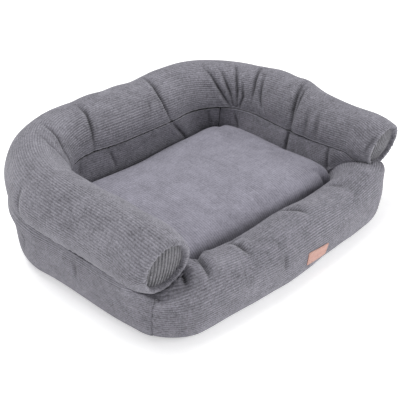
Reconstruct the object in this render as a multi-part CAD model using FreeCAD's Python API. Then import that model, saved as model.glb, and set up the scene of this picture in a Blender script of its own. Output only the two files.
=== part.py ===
"""Sofa-shaped pet bed: a padded base with four stuffed walls, a U-shaped bolster on the side and back
walls, and a loose zipped cushion in the well. Millimetres, +X right, +Y to the back, +Z up, with the
origin on the floor under the middle of the bed."""

import FreeCAD, Part
import math
import os
from FreeCAD import Vector

# Overall base, measured over the fabric
base_width = 650.0
base_depth = 547.0
wall_height = 106.0
side_bow = 22.0
front_corner_radius = 70.0
back_corner_radius = 202.0
bottom_edge_radius = 24.0
top_edge_radius = 30.0

# Walls and well
wall_thickness = 100.0
back_wall_thickness = 116.0
well_front_radius = 45.0
well_back_radius = 85.0
mitre_gap = 0.6

# Bolster
arm_radius = 54.0
back_radius = 69.0
arm_end_radius = 47.0
end_taper_length = 40.0
arm_centre_height = 149.0
back_centre_height = 159.0
arm_centre_inset = 40.0
back_centre_inset = 67.0
arm_end_setback = 48.0
bolster_corner_radius = 177.0
end_disc_thickness = 3.0
end_disc_recess = 5.0

# Cloth, filling and floor
cord_thickness = 2.0
lining_thickness = 1.0
fill_clearance = 0.5
seam_gap = 0.4
underside_thickness = 1.4
underside_inset = 22.0
wadding_thickness = 5.0
dot_radius = 3.0
dot_height = 1.0
dot_pitch = 45.0
dot_margin = 42.0

# Loose cushion
cushion_thickness = 84.0
cushion_side_gap = 5.0
cushion_back_gap = 13.0
cushion_lift_gap = 0.5
cushion_front_radius = 40.0
cushion_rest_gap = 0.3
cushion_edge_radius = 30.0
cushion_seam_height = 38.0
cushion_cover_thickness = 1.5

# Zip in the back seam of the cushion
zip_length = 200.0
zip_slot_half_height = 5.0
tape_width = 12.0
tape_thickness = 0.6
tape_inner_edge = 1.2
coil_gap = 0.9
coil_width = 2.0
coil_thickness = 1.2
slider_length = 9.0
slider_height = 9.0
slider_plate = 1.0
slider_gap = 0.3
slider_post_length = 2.0
stop_length = 2.0

# Label on the front wall
label_width = 62.0
label_height = 25.0
label_thickness = 1.2
label_gap = 0.1
label_centre_x = 32.0
label_centre_z = 40.0
stitch_length = 3.0
stitch_pitch = 4.4
stitch_thickness = 0.5
stitch_gap = 0.05
stitch_margin = 2.6

# Places that follow from the sizes above
label_face = label_gap + label_thickness
stitch_face = label_face + stitch_gap + stitch_thickness
back_overhang = max(0.0, back_radius - back_centre_inset)
base_front = (stitch_face - base_depth - back_overhang) / 2
base_back = base_front + base_depth
base_half = base_width / 2
panel_top = dot_height + underside_thickness
wall_top = panel_top + wall_height
well_half = base_half - wall_thickness
well_front = base_front + wall_thickness
well_back = base_back - back_wall_thickness
floor_top = panel_top + wadding_thickness + lining_thickness
bolster_bottom = wall_top + seam_gap
arm_x = base_half - arm_centre_inset
arm_end_y = base_front + arm_end_setback
back_y = base_back - back_centre_inset
cushion_bottom = floor_top + cushion_rest_gap
cushion_half = min(well_half - cushion_side_gap, arm_x - back_radius - cushion_lift_gap)
cushion_front = well_front + cushion_side_gap
# The zip stands out of the cushion's back, and it has to pass the bolster too when the cushion is lifted.
zip_stand_out = tape_thickness + coil_thickness + slider_gap + slider_plate
cushion_back = min(well_back - cushion_back_gap, back_y - back_radius - cushion_lift_gap - zip_stand_out)
cushion_back_radius = bolster_corner_radius - back_radius - cushion_lift_gap
cushion_seam = cushion_bottom + cushion_seam_height
far = 2 * (base_width + base_depth)


def side(start, end, bow, outward):
    """One side of an outline, straight or bowed outward by its sagitta."""
    if bow <= 0:
        return Part.makeLine(start, end)
    middle = (start + end) * 0.5 + outward * bow
    return Part.Arc(start, middle, end).toShape()


def block(half, front, back, bottom, top, bow, front_radius, back_radius, low_edge, high_edge):
    """A closed block with rounded plan corners and rounded bottom and top edges."""
    corners = [
        Vector(-half + bow, front + bow, bottom),
        Vector(half - bow, front + bow, bottom),
        Vector(half - bow, back - bow, bottom),
        Vector(-half + bow, back - bow, bottom),
    ]
    outwards = [Vector(0, -1, 0), Vector(1, 0, 0), Vector(0, 1, 0), Vector(-1, 0, 0)]
    sides = [side(corners[i], corners[(i + 1) % 4], bow, outwards[i]) for i in range(4)]
    solid = Part.Face(Part.Wire(sides)).extrude(Vector(0, 0, top - bottom))
    for radius, at_front in ((front_radius, True), (back_radius, False)):
        uprights = [e for e in solid.Edges if is_upright(e) and at_front == is_front(e, front, back)]
        solid = solid.makeFillet(radius, uprights)
    for radius, height in ((low_edge, bottom), (high_edge, top)):
        if radius > 0:
            solid = solid.makeFillet(radius, level_edges(solid, height))
    return solid


def is_upright(edge):
    """True for a straight edge that runs along Z."""
    box = edge.BoundBox
    return box.XLength < 0.01 and box.YLength < 0.01 and box.ZLength > 0.1


def is_front(edge, front, back):
    """True for an edge nearer to the front than to the back."""
    return edge.BoundBox.Center.y < (front + back) / 2


def level_edges(solid, height):
    """The edges of a solid that lie in the horizontal plane at a height."""
    found = []
    for edge in solid.Edges:
        box = edge.BoundBox
        if box.ZLength < 0.01 and abs(box.ZMin - height) < 0.01:
            found.append(edge)
    return found


def base_block(inset):
    """The outer form of the whole base, pulled in on every side by an inset."""
    return block(
        base_half - inset, base_front + inset, base_back - inset,
        panel_top + inset, wall_top - inset, side_bow,
        front_corner_radius - inset, back_corner_radius - inset,
        bottom_edge_radius - inset, top_edge_radius - inset)


def well_block(inset, bottom, top):
    """The hollow that the cushion lies in, pulled in on every side by an inset."""
    return block(
        well_half - inset, well_front + inset, well_back - inset, bottom, top, 0.0,
        well_front_radius - inset, well_back_radius - inset, 0.0, 0.0)


def wall_ring(inset):
    """All four walls as one ring, pulled in by an inset, with its top inner edge rounded."""
    ring = base_block(inset).cut(well_block(-inset, -far, far))
    top = wall_top - inset
    inner = [e for e in level_edges(ring, top) if is_over_well_edge(e)]
    return ring.makeFillet(top_edge_radius - inset, inner)


def is_over_well_edge(edge):
    """True for an edge of the ring that runs along the rim of the well."""
    reach = wall_thickness / 4
    box = edge.BoundBox
    inside_x = box.XMax < well_half + reach and box.XMin > -well_half - reach
    return inside_x and box.YMin > well_front - reach and box.YMax < well_back + reach


def mitre_points():
    """Where the four mitres start, inside the well, and the directions in which they run outward."""
    side_in = well_half - well_front_radius
    back_in = well_half - well_back_radius
    starts = {
        "front_left": Vector(-side_in, well_front + well_front_radius, 0),
        "front_right": Vector(side_in, well_front + well_front_radius, 0),
        "back_right": Vector(back_in, well_back - well_back_radius, 0),
        "back_left": Vector(-back_in, well_back - well_back_radius, 0),
    }
    runs = {
        "front_left": Vector(-1, -1, 0),
        "front_right": Vector(1, -1, 0),
        "back_right": Vector(1, 1, 0),
        "back_left": Vector(-1, 1, 0),
    }
    return starts, runs


def sector(first, second, inset):
    """The wedge of space between two mitres, counter-clockwise from the first, less an inset."""
    starts, runs = mitre_points()
    left_of_first = Vector(-runs[first].y, runs[first].x, 0).normalize()
    right_of_second = Vector(runs[second].y, -runs[second].x, 0).normalize()
    near_a = starts[first] + left_of_first * inset
    near_b = starts[second] + right_of_second * inset
    points = [near_a, near_a + runs[first] * far, near_b + runs[second] * far, near_b, near_a]
    wedge = Part.Face(Part.makePolygon(points)).extrude(Vector(0, 0, far))
    return wedge.translated(Vector(0, 0, -far / 2))


def wall(first, second):
    """The closed cloth case of one wall and the filling inside it."""
    edge = mitre_gap / 2
    case = wall_ring(0).common(sector(first, second, edge))
    inside = wall_ring(cord_thickness).common(sector(first, second, edge + cord_thickness))
    pad_inset = cord_thickness + fill_clearance
    pad = wall_ring(pad_inset).common(sector(first, second, edge + pad_inset))
    return case.cut(inside), pad


def bolster_stations(end_trim):
    """Points and headings along the bolster's centre line, from the left arm's end to the right's."""
    stations = []
    corner_y = back_y - bolster_corner_radius
    corner_x = arm_x - bolster_corner_radius
    start_y = arm_end_y + end_trim
    taper_y = arm_end_y + max(end_taper_length, end_trim + 1)
    for share in (0.0, 0.5, 1.0):
        stations.append((-arm_x, start_y + (taper_y - start_y) * share, 90.0))
    stations.append((-arm_x, (taper_y + corner_y) / 2, 90.0))
    for step in range(7):
        heading = 90.0 - 15.0 * step
        turned = math.radians(180.0 - 15.0 * step)
        x = -corner_x + bolster_corner_radius * math.cos(turned)
        y = corner_y + bolster_corner_radius * math.sin(turned)
        stations.append((x, y, heading))
    mirrored = [(-x, y, -heading) for x, y, heading in reversed(stations)]
    return stations + [(0.0, back_y, 0.0)] + mirrored


def bolster_section(x, y, heading, inset):
    """One round section of the bolster: fuller and higher at the back, drawn in at the arm ends."""
    share = (y - arm_end_y) / (back_y - arm_end_y)
    radius = arm_radius + (back_radius - arm_radius) * share
    height = arm_centre_height + (back_centre_height - arm_centre_height) * share
    into_taper = max(0.0, 1 - (y - arm_end_y) / end_taper_length)
    radius -= (arm_radius - arm_end_radius) * into_taper ** 2
    angle = math.radians(heading)
    normal = Vector(math.cos(angle), math.sin(angle), 0)
    return Part.Wire(Part.makeCircle(radius - inset, Vector(x, y, height), normal))


def bolster(inset, end_trim):
    """The bolster tube, pulled in by an inset and cut flat where it lies on the walls."""
    sections = [bolster_section(x, y, heading, inset) for x, y, heading in bolster_stations(end_trim)]
    tube = Part.makeLoft(sections, True, False)
    return tube.cut(below(bolster_bottom + inset))


def below(height):
    """All of space under a height, for trimming."""
    return Part.makeBox(far, far, far, Vector(-far / 2, -far / 2, height - far))


def above(height):
    """All of space over a height, for trimming."""
    return Part.makeBox(far, far, far, Vector(-far / 2, -far / 2, height))


def end_disc(hand):
    """The round cloth disc that closes one arm, set back inside the rim of the tube."""
    radius = arm_end_radius - cord_thickness - fill_clearance
    place = Vector(hand * arm_x, arm_end_y + end_disc_recess, arm_centre_height)
    disc = Part.makeCylinder(radius, end_disc_thickness, place, Vector(0, 1, 0))
    return disc.cut(below(bolster_bottom + cord_thickness + fill_clearance))


def cushion_block(inset):
    """The loose cushion's outer form, small enough to lift out past the bolster, pulled in by an inset."""
    return block(
        cushion_half - inset, cushion_front + inset, cushion_back - inset,
        cushion_bottom + inset, cushion_bottom + cushion_thickness - inset, 0.0,
        cushion_front_radius - inset, cushion_back_radius - inset,
        cushion_edge_radius - inset, cushion_edge_radius - inset)


def zip_box(length, low, high, inner, outer, middle=0.0):
    """A box on the cushion's back face: heights from the seam, depths from the face."""
    corner = Vector(middle - length / 2, cushion_back + inner, cushion_seam + low)
    return Part.makeBox(length, outer - inner, high - low, corner)


def cushion_covers():
    """The cord top and the lining base of the cushion's cover, with the zip's slot in the back seam."""
    shell = cushion_block(0).cut(cushion_block(cushion_cover_thickness))
    slot_half = zip_slot_half_height
    slot = zip_box(zip_length, -slot_half, slot_half, -2 * cushion_cover_thickness, 1.0)
    shell = shell.cut(slot)
    return shell.cut(below(cushion_seam)), shell.cut(above(cushion_seam))


def zip_tape(hand):
    """One woven zip tape, sewn to the outside of the cover beside the slot."""
    edges = sorted((hand * tape_inner_edge, hand * (tape_inner_edge + tape_width)))
    return zip_box(zip_length + 2 * stop_length, edges[0], edges[1], 0.0, tape_thickness)


def zip_coil(hand):
    """One row of the zip's coil, as a bar along the free edge of its tape."""
    edges = sorted((hand * coil_gap / 2, hand * (coil_gap / 2 + coil_width)))
    return zip_box(zip_length, edges[0], edges[1], tape_thickness, tape_thickness + coil_thickness)


def zip_stops():
    """The two end stops that bridge the coils."""
    reach = coil_gap / 2 + coil_width
    offset = (zip_length + stop_length) / 2
    depths = (tape_thickness, tape_thickness + coil_thickness)
    return [zip_box(stop_length, -reach, reach, depths[0], depths[1], hand * offset) for hand in (-1, 1)]


def zip_slider():
    """The pull-less slider: a plate each side of the tapes, joined by a post between the coils."""
    middle = (zip_length - slider_length) / 2 - stop_length
    outer_face = tape_thickness + coil_thickness + slider_gap
    front = zip_box(
        slider_length, -slider_height / 2, slider_height / 2, outer_face, outer_face + slider_plate, middle)
    back_half = zip_slot_half_height - 1.4
    back = zip_box(slider_length, -back_half, back_half, -slider_gap - slider_plate, -slider_gap, middle)
    post_half = coil_gap / 2 - 0.15
    post = zip_box(slider_post_length, -post_half, post_half, -slider_gap, outer_face, middle)
    return front.fuse(back).fuse(post).removeSplitter()


def front_skin(inner, outer):
    """A skin that follows the outside of the base, between two distances from it."""
    return base_block(-outer).cut(base_block(-inner))


def front_bar(x, z, width, height):
    """A bar through the front skin, placed from the label's middle."""
    corner = Vector(label_centre_x + x - width / 2, base_front - far, label_centre_z + z - height / 2)
    return Part.makeBox(width, far, height, corner)


def label():
    """The blank leather label, bent to the front wall."""
    return front_skin(label_gap, label_face).common(front_bar(0, 0, label_width, label_height))


def label_stitches():
    """The running stitch round the label, one bar for each stitch that shows."""
    run_x = label_width / 2 - stitch_margin
    run_z = label_height / 2 - stitch_margin
    bars = []
    for x in spaced(run_x - stitch_length):
        bars += [front_bar(x, hand * run_z, stitch_length, stitch_thickness) for hand in (-1, 1)]
    for z in spaced(run_z - stitch_length):
        bars += [front_bar(hand * run_x, z, stitch_thickness, stitch_length) for hand in (-1, 1)]
    skin = front_skin(label_face + stitch_gap, stitch_face)
    return [bar.common(skin) for bar in bars]


def spaced(half_run):
    """Places at the stitch pitch, centred, over twice a half run."""
    count = int(2 * half_run / stitch_pitch) + 1
    return [(i - (count - 1) / 2) * stitch_pitch for i in range(count)]


def grip_dots():
    """The raised grip dots under the base, on a staggered grid inside the underside panel."""
    dots = []
    rows = int((base_depth - 2 * dot_margin) / dot_pitch)
    columns = int((base_width - 2 * dot_margin) / dot_pitch)
    middle_y = (base_front + base_back) / 2
    for row in range(rows + 1):
        y = middle_y + (row - rows / 2) * dot_pitch
        shift = dot_pitch / 4 * (1 if row % 2 else -1)
        for column in range(columns + 1):
            x = (column - columns / 2) * dot_pitch + shift
            if on_panel(abs(x), y):
                dots.append(Part.makeCylinder(dot_radius, dot_height, Vector(x, y, 0)))
    return dots


def on_panel(x, y):
    """True where a dot fits on the underside panel, clear of its sides and rounded corners."""
    inside_x = base_half - side_bow - x
    inside_front = y - base_front - side_bow
    inside_back = base_back - side_bow - y
    for inside_y, radius in ((inside_front, front_corner_radius), (inside_back, back_corner_radius)):
        past_x = radius - inside_x
        past_y = radius - inside_y
        if past_x > 0 and past_y > 0 and math.hypot(past_x, past_y) > radius - dot_margin + side_bow:
            return False
    return min(inside_x, inside_front, inside_back) > dot_margin - side_bow


def underside_panel():
    """The dark non-slip cloth under the whole bed."""
    inset = underside_inset
    return block(
        base_half - inset, base_front + inset, base_back - inset, dot_height, panel_top, side_bow,
        front_corner_radius - inset, back_corner_radius - inset, 0.0, 0.0)


def save(name, shapes):
    """Writes one node from a solid or a list of separate solids."""
    shape = Part.makeCompound(shapes) if isinstance(shapes, list) else shapes
    shape.exportStep(f"parts/{name}.step")


def main():
    os.makedirs("parts", exist_ok=True)
    save("underside_panel", underside_panel())
    save("grip_dots", grip_dots())
    save("floor_wadding", well_block(seam_gap, panel_top, panel_top + wadding_thickness))
    save("floor_lining", well_block(seam_gap, floor_top - lining_thickness, floor_top))

    mitres = {
        "front": ("front_left", "front_right"),
        "right": ("front_right", "back_right"),
        "back": ("back_right", "back_left"),
        "left": ("back_left", "front_left"),
    }
    for place, (first, second) in mitres.items():
        case, pad = wall(first, second)
        save(f"{place}_wall_cover", case)
        save(f"{place}_wall_fill", pad)

    save("bolster_cover", bolster(0, 0).cut(bolster(cord_thickness, -1)))
    fill_trim = end_disc_recess + end_disc_thickness + fill_clearance
    save("bolster_fill", bolster(cord_thickness + fill_clearance, fill_trim))
    for place, hand in (("left", -1), ("right", 1)):
        save(f"{place}_end_disc", end_disc(hand))

    save("label", label())
    save("label_stitches", label_stitches())

    top_cover, base_cover = cushion_covers()
    save("cushion_top_cover", top_cover)
    save("cushion_base_cover", base_cover)
    save("cushion_fill", cushion_block(cushion_cover_thickness + fill_clearance))
    for place, hand in (("upper", 1), ("lower", -1)):
        save(f"zip_{place}_tape", zip_tape(hand))
        save(f"zip_{place}_coil", zip_coil(hand))
    save("zip_stops", zip_stops())
    save("zip_slider", zip_slider())


main()
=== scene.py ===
# %% [markdown]
# # A sofa-shaped pet bed in corduroy
# The real thing is cloth and loose filling: four stuffed walls on a flat base, a fat U-shaped bolster
# sewn on top of three of them, and a loose cushion in the well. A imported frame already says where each
# of those stands and how the cushion lifts. This script gives them their looks: cloth that swells
# between its seams, ribs that run with the panel, gathers, stitches and a leather label.
#
# Everything is in metres, +X right, +Y to the back, +Z up.

# %% The frame
import math

import bmesh
import bpy
import numpy as np
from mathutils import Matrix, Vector
from mathutils.bvhtree import BVHTree


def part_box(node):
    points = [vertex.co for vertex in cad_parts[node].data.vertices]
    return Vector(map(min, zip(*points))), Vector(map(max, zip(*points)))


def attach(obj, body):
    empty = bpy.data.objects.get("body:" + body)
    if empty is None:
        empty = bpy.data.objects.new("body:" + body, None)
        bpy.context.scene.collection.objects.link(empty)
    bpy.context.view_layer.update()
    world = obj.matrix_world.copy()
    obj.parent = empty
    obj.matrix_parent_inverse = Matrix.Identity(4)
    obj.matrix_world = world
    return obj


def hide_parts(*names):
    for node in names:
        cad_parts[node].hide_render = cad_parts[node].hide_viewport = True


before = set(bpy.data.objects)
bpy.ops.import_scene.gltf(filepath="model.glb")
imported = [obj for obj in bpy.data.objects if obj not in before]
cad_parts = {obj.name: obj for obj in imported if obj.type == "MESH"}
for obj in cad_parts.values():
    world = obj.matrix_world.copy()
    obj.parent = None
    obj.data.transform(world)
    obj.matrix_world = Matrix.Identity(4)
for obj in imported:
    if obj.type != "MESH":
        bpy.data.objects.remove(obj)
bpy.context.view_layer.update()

# %% [markdown]
# ## Places taken from the frame
# A soft piece has no hard edge to measure from, so the sizes come from the boxes of the solids that it
# stands for. What the boxes can't say, such as how far a seam sits down the side of a tube, is named
# here once.


# %% Places and sizes
def box_of(node):
    """Lowest and highest corner of a frame node, as arrays."""
    low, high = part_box(node)
    return np.array(low), np.array(high)


front_low = box_of("front_wall_cover")[0]
back_high, right_high, bolster_high = (
    box_of(node)[1] for node in ("back_wall_cover", "right_wall_cover", "bolster_cover"))
floor_low, floor_high = box_of("floor_lining")
disc_low, disc_high = box_of("right_end_disc")
cushion_low, cushion_high = box_of("cushion_top_cover")

base_half, base_front, base_back = right_high[0], front_low[1], back_high[1]
floor_z = front_low[2]
well_half, well_front, well_back = floor_high[0], floor_low[1], floor_high[1]
base_bow = 0.022  # how far the sides draw in from their middle to the corners
base_front_radius, base_back_radius = 0.070, 0.202
well_front_radius, well_back_radius = 0.045, 0.050

arm_x = (disc_low[0] + disc_high[0]) / 2
disc_radius = (disc_high[0] - disc_low[0]) / 2
arm_z = disc_high[2] - disc_radius
arm_end_y = disc_low[1] - 0.005
arm_radius, back_radius = 0.054, 0.069
rim_radius = 0.0455
back_z = bolster_high[2] - back_radius
back_y = bolster_high[1] - back_radius
bolster_bend = 0.177
rib_pitch = 0.0047
print("well", round(2 * well_half, 3), "arm end at", round(arm_x, 3), round(arm_z, 3))

# %% [markdown]
# ## Paths in plan
# Base, well and bolster all follow the same kind of line: straight arms, round corners and a straight
# back. Each is drawn once, as a rounded rectangle whose length is measured from the middle of the back,
# so that a station on one has a partner on the others: 0 at the left front seam, 1 and 2 at the ends of
# the left back corner, 3 at the middle of the back, and so on to 6 at the right front seam.


# %% Rounded outlines
def arc_points(centre, radius, start, end, steps=40):
    """Points on an arc, angles in degrees."""
    angles = np.radians(np.linspace(start, end, steps))
    return np.array(centre) + radius * np.column_stack([np.cos(angles), np.sin(angles)])


class Outline:
    """A rounded rectangle in plan, measured from the middle of its back, round by the left."""

    def __init__(self, half, front, back, front_radius, back_radius, bow=0.0, seam_turn=0.0):
        self.half, self.front, self.back, self.bow = half, front, back, bow
        middle_back = np.array([[0.0, back]])
        middle_front = np.array([[0.0, front]])
        back_left = arc_points((-half + back_radius, back - back_radius), back_radius, 90, 180)
        front_left = arc_points((-half + front_radius, front + front_radius), front_radius, 180, 270)
        left = np.vstack([middle_back, back_left, front_left, middle_front])
        right = left[::-1][1:] * [-1, 1]
        self.points = np.vstack([left, right])
        self.reach = np.concatenate([[0], np.cumsum(np.hypot(*np.diff(self.points, axis=0).T))])
        back_end = half - back_radius
        corner_end = back_end + back_radius * math.pi / 2
        side_end = corner_end + (back - front) - back_radius - front_radius
        front_start = side_end + front_radius * math.pi / 2
        seam = side_end + front_radius * seam_turn
        self.u_keys = [seam, corner_end, back_end, 0, -back_end, -corner_end, -seam]
        whole = self.reach[-1]
        self.front_keys = [seam, front_start, whole / 2, whole - front_start, whole - seam]

    def at(self, station, keys):
        """Plan points at stations along one of the two runs of the outline."""
        distance = np.interp(station, range(len(keys)), keys) % self.reach[-1]
        x = np.interp(distance, self.reach, self.points[:, 0])
        y = np.interp(distance, self.reach, self.points[:, 1])
        middle, half_depth = (self.front + self.back) / 2, (self.back - self.front) / 2
        across, along = x / self.half, (y - middle) / half_depth
        x = x * (1 - self.bow / self.half * along ** 2)
        y = middle + (y - middle) * (1 - self.bow / half_depth * across ** 2)
        return np.column_stack([x, y])


base_line = Outline(base_half, base_front, base_back, base_front_radius, base_back_radius, base_bow, 0.36)
well_line = Outline(well_half, well_front, well_back, well_front_radius, well_back_radius, 0.0, 0.2)


def bolster_line(station):
    """Centre line of the bolster at stations 0 to 6: points, outward directions and share of the depth."""
    bend_x, bend_y = arm_x - bolster_bend, back_y - bolster_bend
    folded = np.where(station > 3, 6 - station, station)
    turn = np.radians(180 - 90 * np.clip(folded - 1, 0, 1))
    x = -bend_x + bolster_bend * np.cos(turn)
    y = bend_y + bolster_bend * np.sin(turn)
    x = x + np.clip(folded - 2, 0, 1) * bend_x
    y = y + (1 - np.clip(folded, 0, 1)) * (arm_end_y - bend_y)
    outward = np.column_stack([np.cos(turn), np.sin(turn)])
    side = np.where(station > 3, -1.0, 1.0)
    share = (y - arm_end_y) / (back_y - arm_end_y)
    return np.column_stack([x * side, y]), outward * np.column_stack([side, np.ones_like(side)]), share


arm_run = back_y - bolster_bend - arm_end_y
bend_run = bolster_bend * math.pi / 2
back_run = arm_x - bolster_bend
bolster_keys = np.cumsum([0, arm_run, bend_run, back_run, back_run, bend_run, arm_run])
print("bolster length", round(float(bolster_keys[-1]), 3))


def station_at(distance):
    """Station for a distance along the bolster."""
    return np.interp(distance, bolster_keys, range(7))


# %% [markdown]
# ## Cloth as a grid
# A sewn panel is a grid already: its ribs run one way and its width the other. So each panel is built as
# rows (stations along the ribs) by columns (across the ribs). A coarse grid is enough to find its form,
# and a cubic through its points gives the fine one that carries the ribs.


# %% Grid helpers
def spline_rows(points, count):
    """Resamples every row of a grid evenly to a number of points, on a cubic through its own points."""
    step = np.linalg.norm(np.diff(points, axis=1), axis=2).mean(axis=0)
    reach = np.concatenate([[0], np.cumsum(step)])
    return cubic(points, np.interp(np.linspace(0, reach[-1], count), reach, range(points.shape[1])))


def cubic(points, wanted, closed=False):
    """Catmull-Rom values along the second axis of a grid at fractional column numbers."""
    columns = points.shape[1]
    low = np.floor(wanted).astype(int)
    part = (wanted - low)[None, :, None]
    if closed:
        a, b, c, d = (points[:, (low + k) % columns] for k in (-1, 0, 1, 2))
    else:
        padded = np.concatenate([
            2 * points[:, :1] - points[:, 1:2], points, 2 * points[:, -1:] - points[:, -2:-1],
            3 * points[:, -1:] - 2 * points[:, -2:-1]], axis=1)
        a, b, c, d = (padded[:, low + k] for k in (0, 1, 2, 3))
    return b + part * ((c - a) / 2 + part * (a - 2.5 * b + 2 * c - d / 2 + part * (1.5 * (b - c) + (d - a) / 2)))


def cubic_down(points, wanted):
    """The same along the first axis."""
    return cubic(points.transpose(1, 0, 2), wanted).transpose(1, 0, 2)


def normals_of(points, closed=True):
    """Unit normals of a grid, by central differences."""
    if closed:
        across = np.roll(points, -1, axis=1) - np.roll(points, 1, axis=1)
    else:
        across = np.gradient(points, axis=1)
    along = np.gradient(points, axis=0)
    normal = np.cross(along, across)
    return normal / np.maximum(np.linalg.norm(normal, axis=2, keepdims=True), 1e-12)


def rib_height(count):
    """Height of the pile over its mean for rib numbers: round ribs with a narrow furrow between them."""
    furrow = ((1 + np.cos(2 * math.pi * count)) / 2) ** 3
    return 0.3 - furrow


rib_depth = 0.0008
ribs_fine = 4
print("helpers ready")


# %% [markdown]
# ## From grid to mesh
# The ribs are real geometry, four columns to a rib, and the mesh also carries two map coordinates: the
# distance along the ribs and the rib number across them. The material reads those, so its pile and
# furrows fall exactly on the modelled ones and follow every fold.


# %% Grid to mesh
def add_object(name, mesh):
    """A new object for a mesh, linked into the scene."""
    thing = bpy.data.objects.new(name, mesh)
    bpy.context.collection.objects.link(thing)
    return thing


def points_of(mesh):
    """All vertices of a mesh as an array."""
    points = np.zeros(len(mesh.vertices) * 3)
    mesh.vertices.foreach_get("co", points)
    return points.reshape(-1, 3)


def corners_of(mesh):
    """The vertex number of every face corner."""
    corners = np.zeros(len(mesh.loops), int)
    mesh.loops.foreach_get("vertex_index", corners)
    return corners


def grid_quads(rows, columns):
    """Corner numbers of a closed grid's quads."""
    row = np.arange(rows - 1)[:, None]
    column = np.arange(columns)[None, :]
    ahead = (column + 1) % columns
    return np.stack([row * columns + column, row * columns + ahead, (row + 1) * columns + ahead,
                     (row + 1) * columns + column], axis=-1).reshape(-1, 4).tolist()


def grid_mesh(name, points, lengths, ribs):
    """A mesh of quads from a closed grid, with a map of length and rib number, and fans over its ends."""
    rows, columns = points.shape[:2]
    vertices = points.reshape(-1, 3)
    faces = grid_quads(rows, columns)
    quad_corners = 4 * len(faces)
    for first, end in ((0, 0), ((rows - 1) * columns, rows - 1)):
        middle = len(vertices)
        vertices = np.vstack([vertices, points[end].mean(axis=0)])
        for k in range(columns):
            pair = [first + k, first + (k + 1) % columns]
            faces.append([middle] + (pair if end else pair[::-1]))
    mesh = bpy.data.meshes.new(name)
    mesh.from_pydata(vertices.tolist(), [], faces)
    cloth_map = mesh.uv_layers.new(name="cloth")
    u = np.broadcast_to(lengths[:, None], (rows, columns + 1))
    v = np.broadcast_to(ribs[None, :], (rows, columns + 1))
    row, column = np.arange(rows - 1)[:, None], np.arange(columns)[None, :]
    last = column + 1
    corner_u = np.stack([u[row, column], u[row, last], u[row + 1, last], u[row + 1, column]], axis=-1)
    corner_v = np.stack([v[row, column], v[row, last], v[row + 1, last], v[row + 1, column]], axis=-1)
    values = np.zeros((len(mesh.loops), 2), np.float32)
    values[:quad_corners, 0] = corner_u.ravel()
    values[:quad_corners, 1] = corner_v.ravel()
    cloth_map.data.foreach_set("uv", values.ravel())
    mesh.polygons.foreach_set("use_smooth", [True] * len(mesh.polygons))
    if signed_volume(mesh) < 0:
        mesh.flip_normals()
    mesh.update()
    print(name, "faces", len(mesh.polygons))
    return add_object(name, mesh)


def signed_volume(mesh):
    """Volume of a closed mesh, negative where its faces point inwards."""
    mesh.calc_loop_triangles()
    points = points_of(mesh)
    corners = np.zeros(len(mesh.loop_triangles) * 3, int)
    mesh.loop_triangles.foreach_get("vertices", corners)
    a, b, c = (points[corners.reshape(-1, 3)[:, k]] for k in range(3))
    return float((a * np.cross(b, c)).sum() / 6)


# %% [markdown]
# ## Sections
# The bolster is round where it shows and flat where it lies on the walls. Its outer seam sits low on the
# tube and its inner seam just under its widest point, higher at the back than along the arms.


# %% Bolster section
outer_tuck, inner_tuck = 0.0012, 0.0001
tuck_reach = 0.006
bolster_columns, hidden_columns = 60, 10


def outer_seam(from_end):
    """Angle of the outer seam: low on the tube, higher into the back corners, under it at the arm ends."""
    into_corner = np.exp(-((from_end - arm_run - 0.3 * bend_run) / 0.09) ** 2)
    return np.radians(-35 + 12 * into_corner - 30 * (1 - smooth(from_end / 0.055)))


def bolster_size(share):
    """Radius and height of the bolster's middle for a share of the depth, 0 at the arm ends."""
    return arm_radius + (back_radius - arm_radius) * share, arm_z + (back_z - arm_z) * share


def inner_seam(share, from_end):
    """Angle of the inner seam: it rises along the back, and runs under the tube at the arm ends."""
    angle = np.interp(share, [0, 0.12, 0.27, 1.0], [6, 12, 15.5, 8])
    return math.pi + np.radians(angle + 34 * (1 - smooth(from_end / 0.05)))


def corner_weight(station):
    """1 in the middle of the two back corners, fading along the back and the arms."""
    return np.exp(-((np.abs(station - 3) - 1.5) / 0.5) ** 2)


corner_pull = 0.015
# Where the stuffing has gathered or thinned: (station, width, degrees round the tube, spread, height).
bolster_swell = [
    (4.55, 0.45, 60, 1.0, 0.007), (3.7, 0.3, 80, 0.9, 0.002), (1.35, 0.3, 30, 0.8, -0.004),
    (5.4, 0.35, 50, 0.9, -0.002), (0.95, 0.42, 118, 0.75, -0.011), (5.65, 0.3, 80, 0.8, -0.003),
    (2.05, 0.3, 80, 1.0, -0.006), (1.5, 0.2, 20, 0.8, 0.002), (3.45, 0.3, 80, 0.9, -0.004),
    (4.3, 0.35, 70, 1.0, 0.004), (5.0, 0.2, 70, 0.9, 0.003), (5.2, 0.13, 70, 0.9, 0.009),
    (1.05, 0.2, 40, 0.8, 0.001), (2.75, 0.2, 80, 0.7, -0.002), (4.95, 0.12, 75, 0.9, 0.005)]


def end_taper(from_end):
    """How much thinner the bolster gets towards the rims of its arm ends."""
    return (arm_radius - rim_radius) * np.clip(1 - from_end / 0.045, 0, 1) ** 2


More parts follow.
